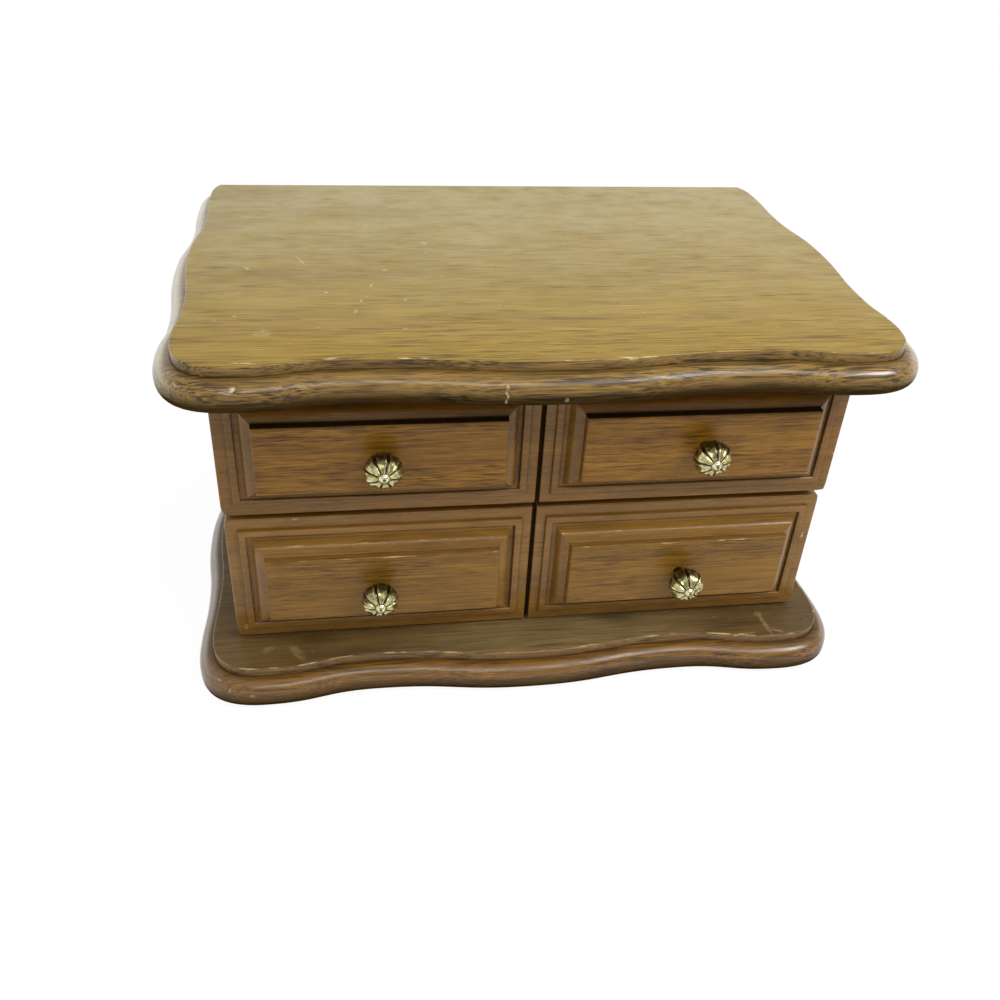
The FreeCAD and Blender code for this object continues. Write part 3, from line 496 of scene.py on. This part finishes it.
def board(name, knots, z0, material, body, slot, node, rim_wear, fullness, chips=()):
    """A board with a stepped nose on three sides, cut straight at the back.

    The lower half of the nose is round at a fullness of 2 and squarer above that.
    """
    nose_line = outline(knots, LEDGE + NOSE_R)
    top_line = outline(knots, 0.0)
    nose_mid = (BOARD_T - STEP_H) / 2
    # Outline, growth, height, wear, grime with painted shade, stain
    rings = [(nose_line, -NOSE_R - UNDERSIDE_BAND, nose_mid - NOSE_R, 0.0, 0.0, 0.6)]
    for k in range(NOSE_STEPS + 1):
        turn = math.radians(-90 + 180 * k / NOSE_STEPS)
        if turn > 0:
            drop = NOSE_R * (1 - math.cos(turn))
            z = nose_mid + (NOSE_R + 0.05) * math.sin(turn)
        else:
            drop = NOSE_R * (1 - abs(math.cos(turn)) ** (2 / fullness))
            z = nose_mid - NOSE_R * abs(math.sin(turn)) ** (2 / fullness)
        darkening = NOSE_SHADE * min(1.0, max(0.0, (SHADE_END_STEP - k) / FADE_STEPS))
        darkening += CORNER_SHADE if k > CORNER_STEP else 0.0
        rings.append((nose_line, -drop, z, 0.0, darkening, 1.0))
    step = BOARD_T - STEP_H
    # Painted shade on the step face, darkest in the crease at its foot
    rings += [
        (top_line, 0.12, step + 0.02, 0.0, 0.8, 1.0),
        (top_line, 0.0, step + 0.3, 0.0, 0.5, 1.0),
        (top_line, 0.0, BOARD_T - RIM_R, 0.4 * rim_wear, 0.15, 1.0),
    ]
    for turn in (math.radians(30), math.radians(60), math.radians(90)):
        rings.append((top_line, -RIM_R * (1 - math.cos(turn)),
                      BOARD_T - RIM_R + RIM_R * math.sin(turn), rim_wear, 0.0, 0.3))
    for band, paler in zip(TOP_BANDS, (0.35 * rim_wear, 0.0)):
        rings.append((top_line, -band, BOARD_T, paler, 0.0, 0.0))
    bm = bmesh.new()
    wear_and_highlight, grime_and_shade, stain = layers(bm)
    loops = []
    for line, grow, z, paler, darkening, tone in rings:
        loop = []
        for p, n in line:
            out = Vector((n.x, n.y, 0))
            spot = Vector((p.x, p.y, z0 + z)) + out * grow
            for centre, radius, depth in chips:
                spot += chip(spot, Vector(centre), radius, depth, (-out - Vector((0, 0, 0.4))))
            vert = bm.verts.new(spot * MM)
            vert[wear_and_highlight], vert[grime_and_shade], vert[stain] = paler, darkening, tone
            loop.append(vert)
        loops.append(loop)
    for low, high in zip(loops, loops[1:]):
        bridge(bm, low, high)
    bm.faces.new(loops[0][::-1])
    bm.faces.new(loops[-1])
    everything = bm.verts[:] + bm.edges[:] + bm.faces[:]
    cut = bmesh.ops.bisect_plane(bm, geom=everything, plane_co=(0, BACK_Y * MM, 0),
                                 plane_no=(0, 1, 0), clear_outer=True)
    rim = [e for e in cut["geom_cut"] if isinstance(e, bmesh.types.BMEdge)]
    bmesh.ops.edgenet_fill(bm, edges=rim)
    return add_piece(name, bm, material, body, slot, node, sharp=30.0)


def carve(piece, *boxes):
    """Cut plain recesses, given in millimetres, into a piece."""
    for low, high in boxes:
        bm = bmesh.new()
        bmesh.ops.create_cube(bm, size=1.0)
        size = [b - a for a, b in zip(low, high)]
        middle = [(a + b) / 2 for a, b in zip(low, high)]
        for vert in bm.verts:
            vert.co = Vector([c * s + m for c, s, m in zip(vert.co, size, middle)]) * MM
        tool = put_mesh("recess", bm)
        cut = piece.modifiers.new("recess", "BOOLEAN")
        cut.operation, cut.solver, cut.object = "DIFFERENCE", "EXACT", tool
        graph = bpy.context.evaluated_depsgraph_get()
        solid = bpy.data.meshes.new_from_object(piece.evaluated_get(graph))
        piece.modifiers.clear()
        piece.data = solid
        bpy.data.objects.remove(tool)


def node_box(node, grow=0.0):
    """Lower and upper corner of a part in millimetres, grown on all sides."""
    low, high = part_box(node)
    return [v / MM - grow for v in low], [v / MM + grow for v in high]


# Room for a hinge leaf: its length from the back edge, its depth, and how far the cutter overlaps
LEAF_LENGTH, LEAF_DEPTH, OVERLAP = 8.4, 1.2, 1
MIRROR_ROOM = 0.5
LID_Z = node_box("lid_board")[0][2]
BASE_Z = node_box("base_board")[0][2]
lid = board("lid_top", LID_KNOTS, LID_Z, LID_WOOD, "lid", "lid_wood", "lid_board",
            rim_wear=0.54, fullness=2.4,
            chips=[((-112.0, -101.0, 155.4), 2.6, 0.6), ((-20.5, -101.9, 151.4), 2.6, 0.4)])
recesses = [node_box("mirror_glass", MIRROR_ROOM)]
for side in LR:
    low, high = node_box("hinge_leaf_moving_" + side)
    recesses.append(([low[0], BACK_Y - LEAF_LENGTH, LID_Z - OVERLAP],
                     [high[0], BACK_Y + OVERLAP, LID_Z + LEAF_DEPTH]))
carve(lid, *recesses)
board("base_plinth", BASE_KNOTS, BASE_Z, BASE_WOOD, "case", "base_wood", "base_board",
      rim_wear=0.74, fullness=5.0,
      chips=[((-128.0, -91.3, 10.2), 2.4, 0.4), ((-118.7, -93.9, 8.7), 2.4, 0.4)])


# Moulded fronts, in millimetres: height, thickness at the margin, rounding of the outer edge
FRONT_H, MARGIN_T, RIM = 60.9, 9.8, 0.8
# Inset and rise of the sloped lip
SLOPE = [(10.3, 1.9), (10.5, 2.35), (10.7, 2.78), (10.9, 3.17), (11.1, 3.5), (11.3, 3.78),
         (11.5, 4.01), (11.75, 4.24), (12.05, 4.46), (12.5, 4.74), (13.2, 5.14), (14.0, 5.56),
         (14.75, 5.93)]
# Inset from the edge of a panel, rise, wear, grime with painted shade in the channel and at the feet of
# the risers, stain
PROFILE = [
    (0.0, 0.0, 0.2, 0.0, 0.8), (3.6, 0.0, 0.0, 0.0, 0.8), (4.6, 0.0, 0.0, 0.1, 0.8),
    (4.95, 0.0, 0.0, 0.8, 0.8), (5.02, 1.0, 0.0, 0.4, 0.8), (5.1, 1.26, 0.3, 0.0, 0.8),
    (5.25, 1.42, 0.3, 0.0, 0.8), (5.5, 1.5, 0.0, 0.0, 0.8), (7.4, 1.5, 0.0, 0.0, 0.8),
    (7.75, 1.44, 0.2, 0.0, 0.8), (8.0, 1.2, 0.1, 0.2, 0.8), (8.08, 0.6, 0.0, 0.75, 0.8),
    (8.3, 0.5, 0.0, 0.7, 0.8), (9.0, 0.5, 0.0, 0.35, 0.8), (9.7, 0.5, 0.0, 0.35, 0.8),
    (9.92, 0.6, 0.0, 0.4, 0.8), (9.98, 1.1, 0.0, 0.1, 0.8), (10.08, 1.42, 0.3, 0.0, 0.8),
] + [(d, h, 0.0, 0.0, 0.8) for d, h in SLOPE] + [
    (14.87, 6.05, 0.0, 0.5, 0.8), (14.93, 6.4, 0.0, 0.4, 0.8), (15.0, 8.25, 0.0, 0.1, 0.6),
    (15.08, 8.62, 0.25, 0.0, 0.4), (15.22, 8.93, 0.4, 0.0, 0.2), (15.45, 9.12, 0.3, 0.0, 0.0),
    (15.8, 9.2, 0.0, 0.0, 0.0), (16.9, 9.2, 0.0, 0.0, 0.0), (40.0, 9.2, 0.0, 0.0, 0.0),
]
RIM_STEPS = (0.0, 0.1, 0.24, 0.45, 0.8)
# Half the width of the centre groove, its depth, and the rounding of its edges
GROOVE, GROOVE_DEPTH, GROOVE_EASE, GROOVE_ROUND = 0.95, 3.0, 0.4, 0.25
GRID_PITCH = 3.0
# Along the top of a field: insets of the painted highlight lines, and of the painted shade line above the
# field under the lid's overhang
HIGHLIGHT_LINES = ((11.2, 11.6), (15.1, 15.5))
SHADED = (14.0, 15.1)
# Share of the painted shade on the top and bottom runs and on the left upright of each panel; the right
# uprights keep it all
WEAK_SHADE_SHARE = 0.3


def profile_at(inset):
    """Rise, wear, grime with painted shade, and stain at an inset."""
    for (d0, *low), (d1, *high) in zip(PROFILE, PROFILE[1:]):
        if inset <= d1:
            t = (inset - d0) / (d1 - d0)
            return [a + (b - a) * t for a, b in zip(low, high)]
    return PROFILE[-1][1:]


def panel_lines(start, end, rim_low, rim_high, drop=0.0):
    """Grid lines across one panel, from its lower edge to its upper edge."""
    insets = [d for d, *_ in PROFILE[1:-1]]
    lines = {start, end}
    lines.update(start + d for d in insets)
    lines.update(end - drop - d for d in insets)
    lines.update(start + d for d in rim_low)
    lines.update(end - d for d in rim_high)
    inner_low, inner_high = start + insets[-1], end - drop - insets[-1]
    count = round((inner_high - inner_low) / GRID_PITCH)
    lines.update(inner_low + (inner_high - inner_low) * k / count for k in range(1, count))
    return sorted(round(v, 4) for v in lines)


def round_corner(x, z, radii):
    """Move a grid point inside the rounded corner of the board; also its distance to the rim."""
    sx, sz = (1 if x > 0 else -1), (1 if z > FRONT_H / 2 else -1)
    radius = radii[(sz > 0) * 2 + (sx > 0)]
    dx, dz = HALF_W - abs(x), (FRONT_H - z if sz > 0 else z)
    if dx < radius and dz < radius:
        a, b = 1 - dx / radius, 1 - dz / radius
        far = max(a, b)
        pull = far / math.hypot(a, b) if far > 0 else 1.0
        x = sx * (HALF_W - radius + radius * a * pull)
        corner_z = radius - radius * b * pull
        return x, (FRONT_H - corner_z if sz > 0 else corner_z), radius * (1 - far)
    return x, z, min(dx, dz)


def front(name, node, face_y, z0, material, body, radii, overhang_shade=0.0, drop=0.0):
    """A front board with two moulded fields.

    drop lowers the upper edge of the fields, overhang_shade paints the shade of the lid's overhang on
    the line above them, and radii are those of the corners: lower left, lower right, upper left, upper
    right.
    """
    groove = (GROOVE, GROOVE + 0.03, GROOVE + 0.15, GROOVE + GROOVE_EASE)
    xs = panel_lines(-HALF_W, 0.0, RIM_STEPS, groove)
    xs = sorted(set(xs) | {-x for x in xs})
    zs = panel_lines(0.0, FRONT_H, RIM_STEPS, RIM_STEPS, drop)
    bm = bmesh.new()
    wear_and_highlight, grime_and_shade, stain = layers(bm)
    grid = []
    for x in xs:
        column = []
        for z in zs:
            across = min(abs(x), HALF_W - abs(x))
            up = max(0.0, min(z, FRONT_H - drop - z))
            inset = min(across, up)
            rise, paler, darkening, tone = profile_at(inset)
            # The painted shade in the channel is weaker on the level runs and the left uprights
            if up < across or (x > 0) == (abs(x) < HALF_W / 2):
                darkening *= WEAK_SHADE_SHARE
            if up < across and z > FRONT_H / 2:
                # Painted highlight lines on the lip and the field's edge, only on a front without painted
                # overhang shade
                if not overhang_shade and any(low < inset < high for low, high in HIGHLIGHT_LINES):
                    paler = 0.6
                # Painted shade of the lid's overhang on the step above the field
                if SHADED[0] < inset < SHADED[1]:
                    darkening = max(darkening, overhang_shade * min(1.0, (inset - SHADED[0]) / 0.7))
            px, pz, edge = round_corner(x, z, radii)
            if edge < RIM:
                rise -= RIM - math.sqrt(max(0.0, RIM**2 - (RIM - edge) ** 2))
                paler = 0.35
            if abs(x) < GROOVE + GROOVE_EASE:
                rise -= GROOVE_ROUND * (GROOVE + GROOVE_EASE - abs(x)) / GROOVE_EASE
            if abs(x) <= GROOVE:
                rise, paler, darkening = -GROOVE_DEPTH, 0.0, 0.9
            vert = bm.verts.new(Vector((px, face_y - rise, z0 + pz)) * MM)
            vert[wear_and_highlight], vert[grime_and_shade], vert[stain] = paler, darkening, tone
            column.append(vert)
        grid.append(column)
    limit = PROFILE[-2][0]
    for i in range(len(xs) - 1):
        for j in range(len(zs) - 1):
            a, b, c, d = grid[i][j], grid[i + 1][j], grid[i + 1][j + 1], grid[i][j + 1]
            mx, mz = (xs[i] + xs[i + 1]) / 2, (zs[j] + zs[j + 1]) / 2
            across, up = min(abs(mx), HALF_W - abs(mx)), min(mz, FRONT_H - drop - mz)
            if abs(across - up) < 0.02 and across < limit:
                from_edge = (abs(mx) > HALF_W / 2) == (mx < 0)
                if from_edge == (mz < (FRONT_H - drop) / 2):
                    bm.faces.new((a, b, c))
                    bm.faces.new((a, c, d))
                else:
                    bm.faces.new((a, b, d))
                    bm.faces.new((b, c, d))
            else:
                bm.faces.new((a, b, c, d))
    ring = [column[0] for column in grid] + grid[-1][1:] + [column[-1] for column in grid[-2::-1]]
    ring += grid[0][-2:0:-1]
    back = []
    for vert in ring:
        copy = bm.verts.new((vert.co.x, (face_y + MARGIN_T) * MM, vert.co.z))
        copy[stain] = 0.8
        back.append(copy)
    bridge(bm, ring, back)
    bm.faces.new(back)
    return add_piece(name, bm, material, body, "front_wood", node, sharp=28.0)


UPPER_Z = node_box("upper_front")[0][2]
DRAWER_Z = node_box("drawer_front")[0][2]
front("upper_fascia", "upper_front", FRONT_Y - 3.0, UPPER_Z, UPPER_WOOD, "case",
      (3.2, 2.0, 2.0, 2.0), overhang_shade=0.95, drop=1.6)
front("drawer_fascia", "drawer_front", FRONT_Y, DRAWER_Z, DRAWER_WOOD, "drawer",
      (2.0, 2.0, 2.0, 2.0))


# Cast melon knobs, in millimetres: the ball, its distance from the front, the neck
BALL_R, REACH, NECK_R = 7.4, 8.3, 2.1
FLAT_FRONT, FLAT_BACK = 0.80, 0.90
PETALS, PETAL_SIDES = 8, 14
BUTTON_R, BUTTON_BACK, BUTTON_PIT = 1.95, 1.0, 0.3
GAP_W, GAP_D, VALLEY_D, DISH_D = 0.58, 0.85, 0.62, 0.36
# Degrees off the front pole: finer steps over the button than over the petals
POLAR_STEPS = [1.9 * k for k in range(1, 16)] + [28.5 + 3.15 * k for k in range(1, 41)]


def ball_radius(polar, gap, wander):
    """Distance from the ball's centre, grime and wear, for a direction off the front pole.

    A button with a pit stands on the pole. Round it rise dished petals, parted by dark grooves.
    """
    button_off = BALL_R - BUTTON_BACK
    lean = button_off * math.sin(polar)
    button = button_off * math.cos(polar) + math.sqrt(max(0.0, BUTTON_R**2 - lean * lean))
    valley = (BALL_R - VALLEY_D) / math.cos(min(polar, 1.2))
    out = BALL_R * math.sin(polar)
    rise = min(1.0, max(0.0, (out - 2.3) / 0.55))
    rise = rise * rise * (3 - 2 * rise)
    groove = math.exp(-((out * gap / GAP_W) ** 4))
    across = gap * PETALS / math.pi
    dish = DISH_D * max(0.0, min(1.0, (across - 0.35) / 0.3))
    fade = min(1.0, max(0.0, (math.pi * 0.86 - polar) / 0.5))
    petal = BALL_R + 0.06 - GAP_D * groove * fade - dish * fade + wander
    skin = valley + (petal - valley) * rise
    dark = max(groove * fade * rise, (1 - rise) * 0.9)
    if lean < BUTTON_R - 0.02 and button > skin and polar < 0.45:
        pit = polar < 0.08
        return button - BUTTON_PIT * pit + wander * 1.6, 0.9 * pit, 0.0 if pit else 0.45
    rim = 0.5 * math.exp(-(((across - 0.36) / 0.14) ** 2)) * rise * (1 - groove)
    return skin, max(dark, 0.6 * dish * rise), rim


def knob(name, node, body, turn, seed, shift_x, shift_z):
    """A knob on its node's foot; its head sits a little off the middle, as bent in the photo."""
    low, high = node_box(node)
    foot = Vector(((low[0] + high[0]) / 2, high[1], (low[2] + high[2]) / 2))
    centre = foot + Vector((shift_x, -REACH, shift_z))
    count = PETALS * PETAL_SIDES
    bm = bmesh.new()
    wear_and_highlight, grime_and_shade, stain = layers(bm)
    rings = []
    for polar in [math.radians(step) for step in POLAR_STEPS]:
        ring = []
        for k in range(count):
            angle = 2 * math.pi * k / count
            gap = (angle - turn) % (2 * math.pi / PETALS)
            gap = min(gap, 2 * math.pi / PETALS - gap)
            way = Vector((math.sin(polar) * math.cos(angle), -math.cos(polar),
                          math.sin(polar) * math.sin(angle)))
            wander = 0.10 * noise.noise(way * 4.5 + Vector((seed, 0, 0)))
            length, dark, bright = ball_radius(polar, gap, wander)
            flat = FLAT_FRONT if polar < math.pi / 2 else FLAT_BACK
            spot = Vector((way.x, way.y * flat, way.z)) * length
            vert = bm.verts.new((centre + spot) * MM)
            # The rear of the ball, next to the board, is darkened with painted shade
            back = max(0.0, min(1.0, (polar - 1.25) / 0.35))
            # The upper side is darkened and its wear painted out: a painted dark reflection of the dim
            # ceiling
            dark_patch = way.z + 0.45 * noise.noise(way * 2.4 + Vector((0, seed * 3, 0)))
            dark_patch = min(1.0, max(0.0, (dark_patch - 0.5) / 0.3)) * 0.7
            vert[wear_and_highlight] = bright * (1 - dark_patch)
            vert[grime_and_shade] = min(1.0, max(dark, 0.8 * back, dark_patch))
            ring.append(vert)
        rings.append(ring)
    for away, radius in ((2.6, NECK_R - 0.05), (1.2, NECK_R), (0.4, NECK_R), (0.0, NECK_R)):
        ring = []
        for k in range(count):
            angle = 2 * math.pi * k / count
            spot = foot + Vector((radius * math.cos(angle), -away, radius * math.sin(angle)))
            vert = bm.verts.new(spot * MM)
            # The neck is painted nearly black: painted shade behind the ball
            vert[grime_and_shade] = 0.95
            ring.append(vert)
        rings.append(ring)
    for one, two in zip(rings, rings[1:]):
        bridge(bm, one, two)
    tip_length, _, tip_bright = ball_radius(0.0, 1.0, 0.0)
    tip = bm.verts.new((centre + Vector((0, -tip_length * FLAT_FRONT, 0))) * MM)
    tip[wear_and_highlight], tip[grime_and_shade] = tip_bright, 0.8
    for k in range(count):
        bm.faces.new((rings[0][k], rings[0][(k + 1) % count], tip))
    bm.faces.new(rings[-1])
    add_piece(name, bm, KNOB_BRASS, body, "antique_brass", node, sharp=50.0)


# Turn of the petals, seed of the bumps and of the painted dark reflection on top, and the head's shift to
# the right and up
UPRIGHT = math.pi / 2
knob("upper_pull_left", "upper_knob_left", "case", UPRIGHT - 0.27, 1.0, 0.95, -0.8)
knob("upper_pull_right", "upper_knob_right", "case", UPRIGHT, 2.0, 0.5, -0.75)
knob("drawer_pull_left", "drawer_knob_left", "drawer", UPRIGHT + 0.26, 3.0, -1.3, -0.1)
knob("drawer_pull_right", "drawer_knob_right", "drawer", UPRIGHT + 0.10, 4.0, 1.1, -1.2)


# Soft linings and fittings
RIPPLE = 11.0
RING_ROLLS = 7


def breakpoints(low, high, radius, pitch):
    """Grid lines along one axis, closer together where the ends are rounded."""
    inner_low, inner_high = low + radius, high - radius
    found = [low, low + radius * 0.3, low + radius * 0.65]
    count = max(1, round((inner_high - inner_low) / pitch))
    found += [inner_low + (inner_high - inner_low) * k / count for k in range(count + 1)]
    return found + [high - radius * 0.65, high - radius * 0.3, high]


def soft_block(name, node, material, body, slot, radius, crown_axis=None, crown=0.0, wobble=0.12,
               pitch=4.0, inset=0.05):
    """A stuffed or wrapped block: rounded edges, a crowned face and a slightly uneven skin."""
    low, high = node_box(node, -inset)
    sign = 1
    if crown:
        sign = 1 if crown > 0 else -1
        if sign > 0:
            high[crown_axis] -= crown
        else:
            low[crown_axis] -= crown
    radius = min([radius] + [(b - a) / 2 - 0.01 for a, b in zip(low, high)])
    cuts = [breakpoints(a, b, radius, pitch) for a, b in zip(low, high)]
    bm = bmesh.new()
    made = {}

    def vertex(index):
        if index in made:
            return made[index]
        raw = Vector([cuts[axis][index[axis]] for axis in range(3)])
        core = Vector([min(max(v, a + radius), b - radius) for v, a, b in zip(raw, low, high)])
        off = raw - core
        spot = core + off.normalized() * radius if off.length > 0 else raw
        if crown:
            swell = abs(crown)
            for axis in range(3):
                if axis != crown_axis:
                    t = (raw[axis] - low[axis]) / (high[axis] - low[axis])
                    swell *= 1 - (2 * t - 1) ** 4
            face = high[crown_axis] if sign > 0 else low[crown_axis]
            share = 1 - min(1.0, abs(raw[crown_axis] - face) / (high[crown_axis] - low[crown_axis]))
            spot[crown_axis] += sign * swell * share
        ripple = noise.noise(raw / RIPPLE + Vector((len(name), 0, 0)))
        if off.length > 0:
            spot += off.normalized() * (wobble * (ripple - 0.5))
        made[index] = bm.verts.new(spot * MM)
        return made[index]

    last = [len(c) - 1 for c in cuts]
    for axis in range(3):
        u, v = [a for a in range(3) if a != axis]
        for end in (0, last[axis]):
            for i in range(last[u]):
                for j in range(last[v]):
                    corners = []
                    for di, dj in ((0, 0), (1, 0), (1, 1), (0, 1)):
                        index = [0, 0, 0]
                        index[axis], index[u], index[v] = end, i + di, j + dj
                        corners.append(vertex(tuple(index)))
                    bm.faces.new(corners)
    piece = add_piece(name, bm, material, body, slot, node, sharp=80.0)
    return piece


# Axis and height of the swell of each lining, towards the inside
FACES = {"floor": (2, 0.25), "front": (1, 0.2), "back": (1, -0.2),
         "left": (0, 0.2), "right": (0, -0.2)}
for prefix, body in (("compartment", "case"), ("drawer", "drawer")):
    for place, (axis, swell) in FACES.items():
        node = prefix + "_lining_" + place
        soft_block(node.replace("lining", "velvet"), node, VELVET, body, "velvet", radius=0.6,
                   crown_axis=axis, crown=swell, wobble=0.1)
for label in ("main", "cross", "short"):
    soft_block("divider_" + label, "partition_" + label, VELVET, "case", "velvet", radius=1.7,
               wobble=0.15)
soft_block("ring_bed", "ring_platform", VELVET, "case", "velvet", radius=1.2, crown_axis=2,
           crown=0.3)
for number in range(1, RING_ROLLS + 1):
    soft_block("ring_cushion_%d" % number, "ring_roll_%d" % number, VELVET, "case", "velvet",
               radius=7.2, wobble=0.5, pitch=3.0, inset=0.1)


DISC_SIDES = 56
BUMPER_R = 3.0


def felt_disc(bm, x, y, z0, z1, radius):
    """A cut dot of felt with eased and slightly ragged edges."""
    rings = []
    ease = 0.35 * (z1 - z0)
    for z, inner in ((z0, ease), (z0 + 0.3 * ease, 0.3 * ease), (z0 + ease, 0.0), (z1 - ease, 0.0),
                     (z1 - 0.3 * ease, 0.3 * ease), (z1, ease)):
        ring = []
        for k in range(DISC_SIDES):
            turn = 2 * math.pi * k / DISC_SIDES
            ragged = radius - inner - 0.10 - 0.14 * noise.noise(Vector((x + 3 * turn, y, z)))
            ring.append(bm.verts.new(Vector((x + ragged * math.cos(turn),
                                             y + ragged * math.sin(turn), z)) * MM))
        rings.append(ring)
    for one, two in zip(rings, rings[1:]):
        bridge(bm, one, two)
    bm.faces.new(rings[0])
    bm.faces.new(rings[-1])


for depth in ("front", "back"):
    for side in LR:
        node = "felt_pad_%s_%s" % (depth, side)
        low, high = node_box(node)
        bm = bmesh.new()
        layers(bm)
        felt_disc(bm, (low[0] + high[0]) / 2, (low[1] + high[1]) / 2, low[2], high[2],
                  (high[0] - low[0]) / 2)
        add_piece(node.replace("felt_pad", "foot_felt"), bm, FELT, "case", "felt", node, sharp=60.0)
low, high = node_box("lid_bumpers")
bm = bmesh.new()
layers(bm)
for x in (low[0] + BUMPER_R, high[0] - BUMPER_R):
    for y in (low[1] + BUMPER_R, high[1] - BUMPER_R):
        felt_disc(bm, x, y, low[2], high[2], BUMPER_R)
add_piece("bumper_dots", bm, FELT, "case", "felt", "lid_bumpers", sharp=60.0)


# Floor, world, lamps and camera
FLOOR_Z = -0.0002


def stage_floor():
    """A white floor that the camera sees as nearly pure white, with a faint shadow."""
    s = new_material("stage_white")
    path = s.add("LightPath")
    seen = s.calc("MAXIMUM", path.outputs["Is Camera Ray"], path.outputs["Is Glossy Ray"])
    matte = s.add("BsdfDiffuse", {"Color": (0.86, 0.86, 0.86)})
    glow = s.add("Emission", {"Color": (1.0, 1.0, 1.0), "Strength": 1.05})
    both = s.add("MixShader", {0: s.calc("MULTIPLY", seen, 0.89), 1: matte.outputs[0],
                               2: glow.outputs[0]})
    s.add("OutputMaterial", {0: both.outputs[0]})
    bm = bmesh.new()
    bmesh.ops.create_grid(bm, x_segments=1, y_segments=1, size=3.0)
    floor = put_mesh("stage_floor", bm)
    floor.data.materials.append(s.owner)
    floor.location.z = FLOOR_Z


def studio_world():
    """White behind the object; reflections see a bright low back, a dim front and a paler left."""
    s = Shader(bpy.data.worlds.new("studio"))
    bpy.context.scene.world = s.owner

    def ramp(value, *stops):
        node = s.add("ValToRGB", {0: value})
        bands = node.color_ramp.elements
        for position, _ in stops[1:-1]:
            bands.new(position)
        for band, (position, level) in zip(bands, stops):
            band.position = position
            band.color = (level / 2, level / 2, level / 2, 1.0)
        return node.outputs[0]

    def blend(factor, first, second):
        return s.add("Mix", {0: factor, 2: first, 3: second}, data_type="FLOAT").outputs[0]

    x, y, z = s.add("SeparateXYZ", {0: s.add("TexCoord").outputs["Generated"]}).outputs
    back = ramp(z, (0.0, 1.35), (0.28, 1.35), (0.46, 0.42), (0.65, 0.5), (0.8, 0.65), (1.0, 0.65))
    fore = ramp(z, (0.0, 0.35), (0.45, 0.4), (0.65, 0.5), (0.8, 0.65), (1.0, 0.65))
    room = blend(s.span(y, -0.25, 0.25), fore, back)
    left = s.calc("MULTIPLY", s.span(x, -0.35, -0.65, 0.0, 0.5), s.span(z, 0.7, 0.3))
    room = s.add("Math", {0: room, 1: 2.0, 2: left}, operation="MULTIPLY_ADD").outputs[0]
    seen = s.add("LightPath").outputs["Is Camera Ray"]
    white = s.add("Background", {0: (1.0, 1.0, 1.0), 1: blend(seen, room, 1.0)})
    s.add("OutputWorld", {0: white.outputs[0]})


def lamp(name, position, target, size, power, breadth=None):
    """An area light, round unless it has a breadth."""
    light = bpy.data.lights.new(name, "AREA")
    light.shape = "RECTANGLE" if breadth else "DISK"
    light.size = size
    if breadth:
        light.size_y = breadth
    light.energy = power
    item = put(name, light)
    item.location = position
    item.rotation_euler = (Vector(target) - Vector(position)).to_track_quat("-Z", "Y").to_euler()


# The camera of the photo: metres, yaw, pitch and roll in degrees, millimetres on a 36 mm sensor
CAMERA_AT = (-0.07455, -0.39755, 0.31367)
CAMERA_TURN = (-10.433, 33.993, 3.480)
CAMERA_LENS, CAMERA_SENSOR = 35.835, 36.0
CAMERA_SHIFT = (-0.00278, -0.00721)


def photo_camera():
    yaw, pitch, roll = (math.radians(v) for v in CAMERA_TURN)
    forward = Vector((-math.sin(yaw) * math.cos(pitch), math.cos(yaw) * math.cos(pitch),
                      -math.sin(pitch)))
    level = Vector((math.cos(yaw), math.sin(yaw), 0.0))
    rise = level.cross(forward)
    right = level * math.cos(roll) + rise * math.sin(roll)
    up = rise * math.cos(roll) - level * math.sin(roll)
    data = bpy.data.cameras.new("photo_camera")
    data.sensor_width = CAMERA_SENSOR
    data.lens = CAMERA_LENS
    data.shift_x, data.shift_y = CAMERA_SHIFT
    data.clip_start, data.clip_end = 0.01, 20.0
    item = put("photo_camera", data)
    turned = Matrix((right, up, -forward)).transposed().to_4x4()
    item.matrix_world = Matrix.Translation(CAMERA_AT) @ turned
    bpy.context.scene.camera = item


stage_floor()
studio_world()
lamp("strip", (0.4, -0.75, 0.90), (0.2, -0.1, 0.15), size=1.5, power=5.2, breadth=0.30)
lamp("key", (0.65, -0.5, 0.8), (0, 0, 0.08), size=0.3, power=3.8)
lamp("fill", (-1.3, -0.2, 0.9), (0, 0, 0.08), size=0.1, power=1.0)
photo_camera()
bpy.context.scene.view_settings.view_transform = "Standard"
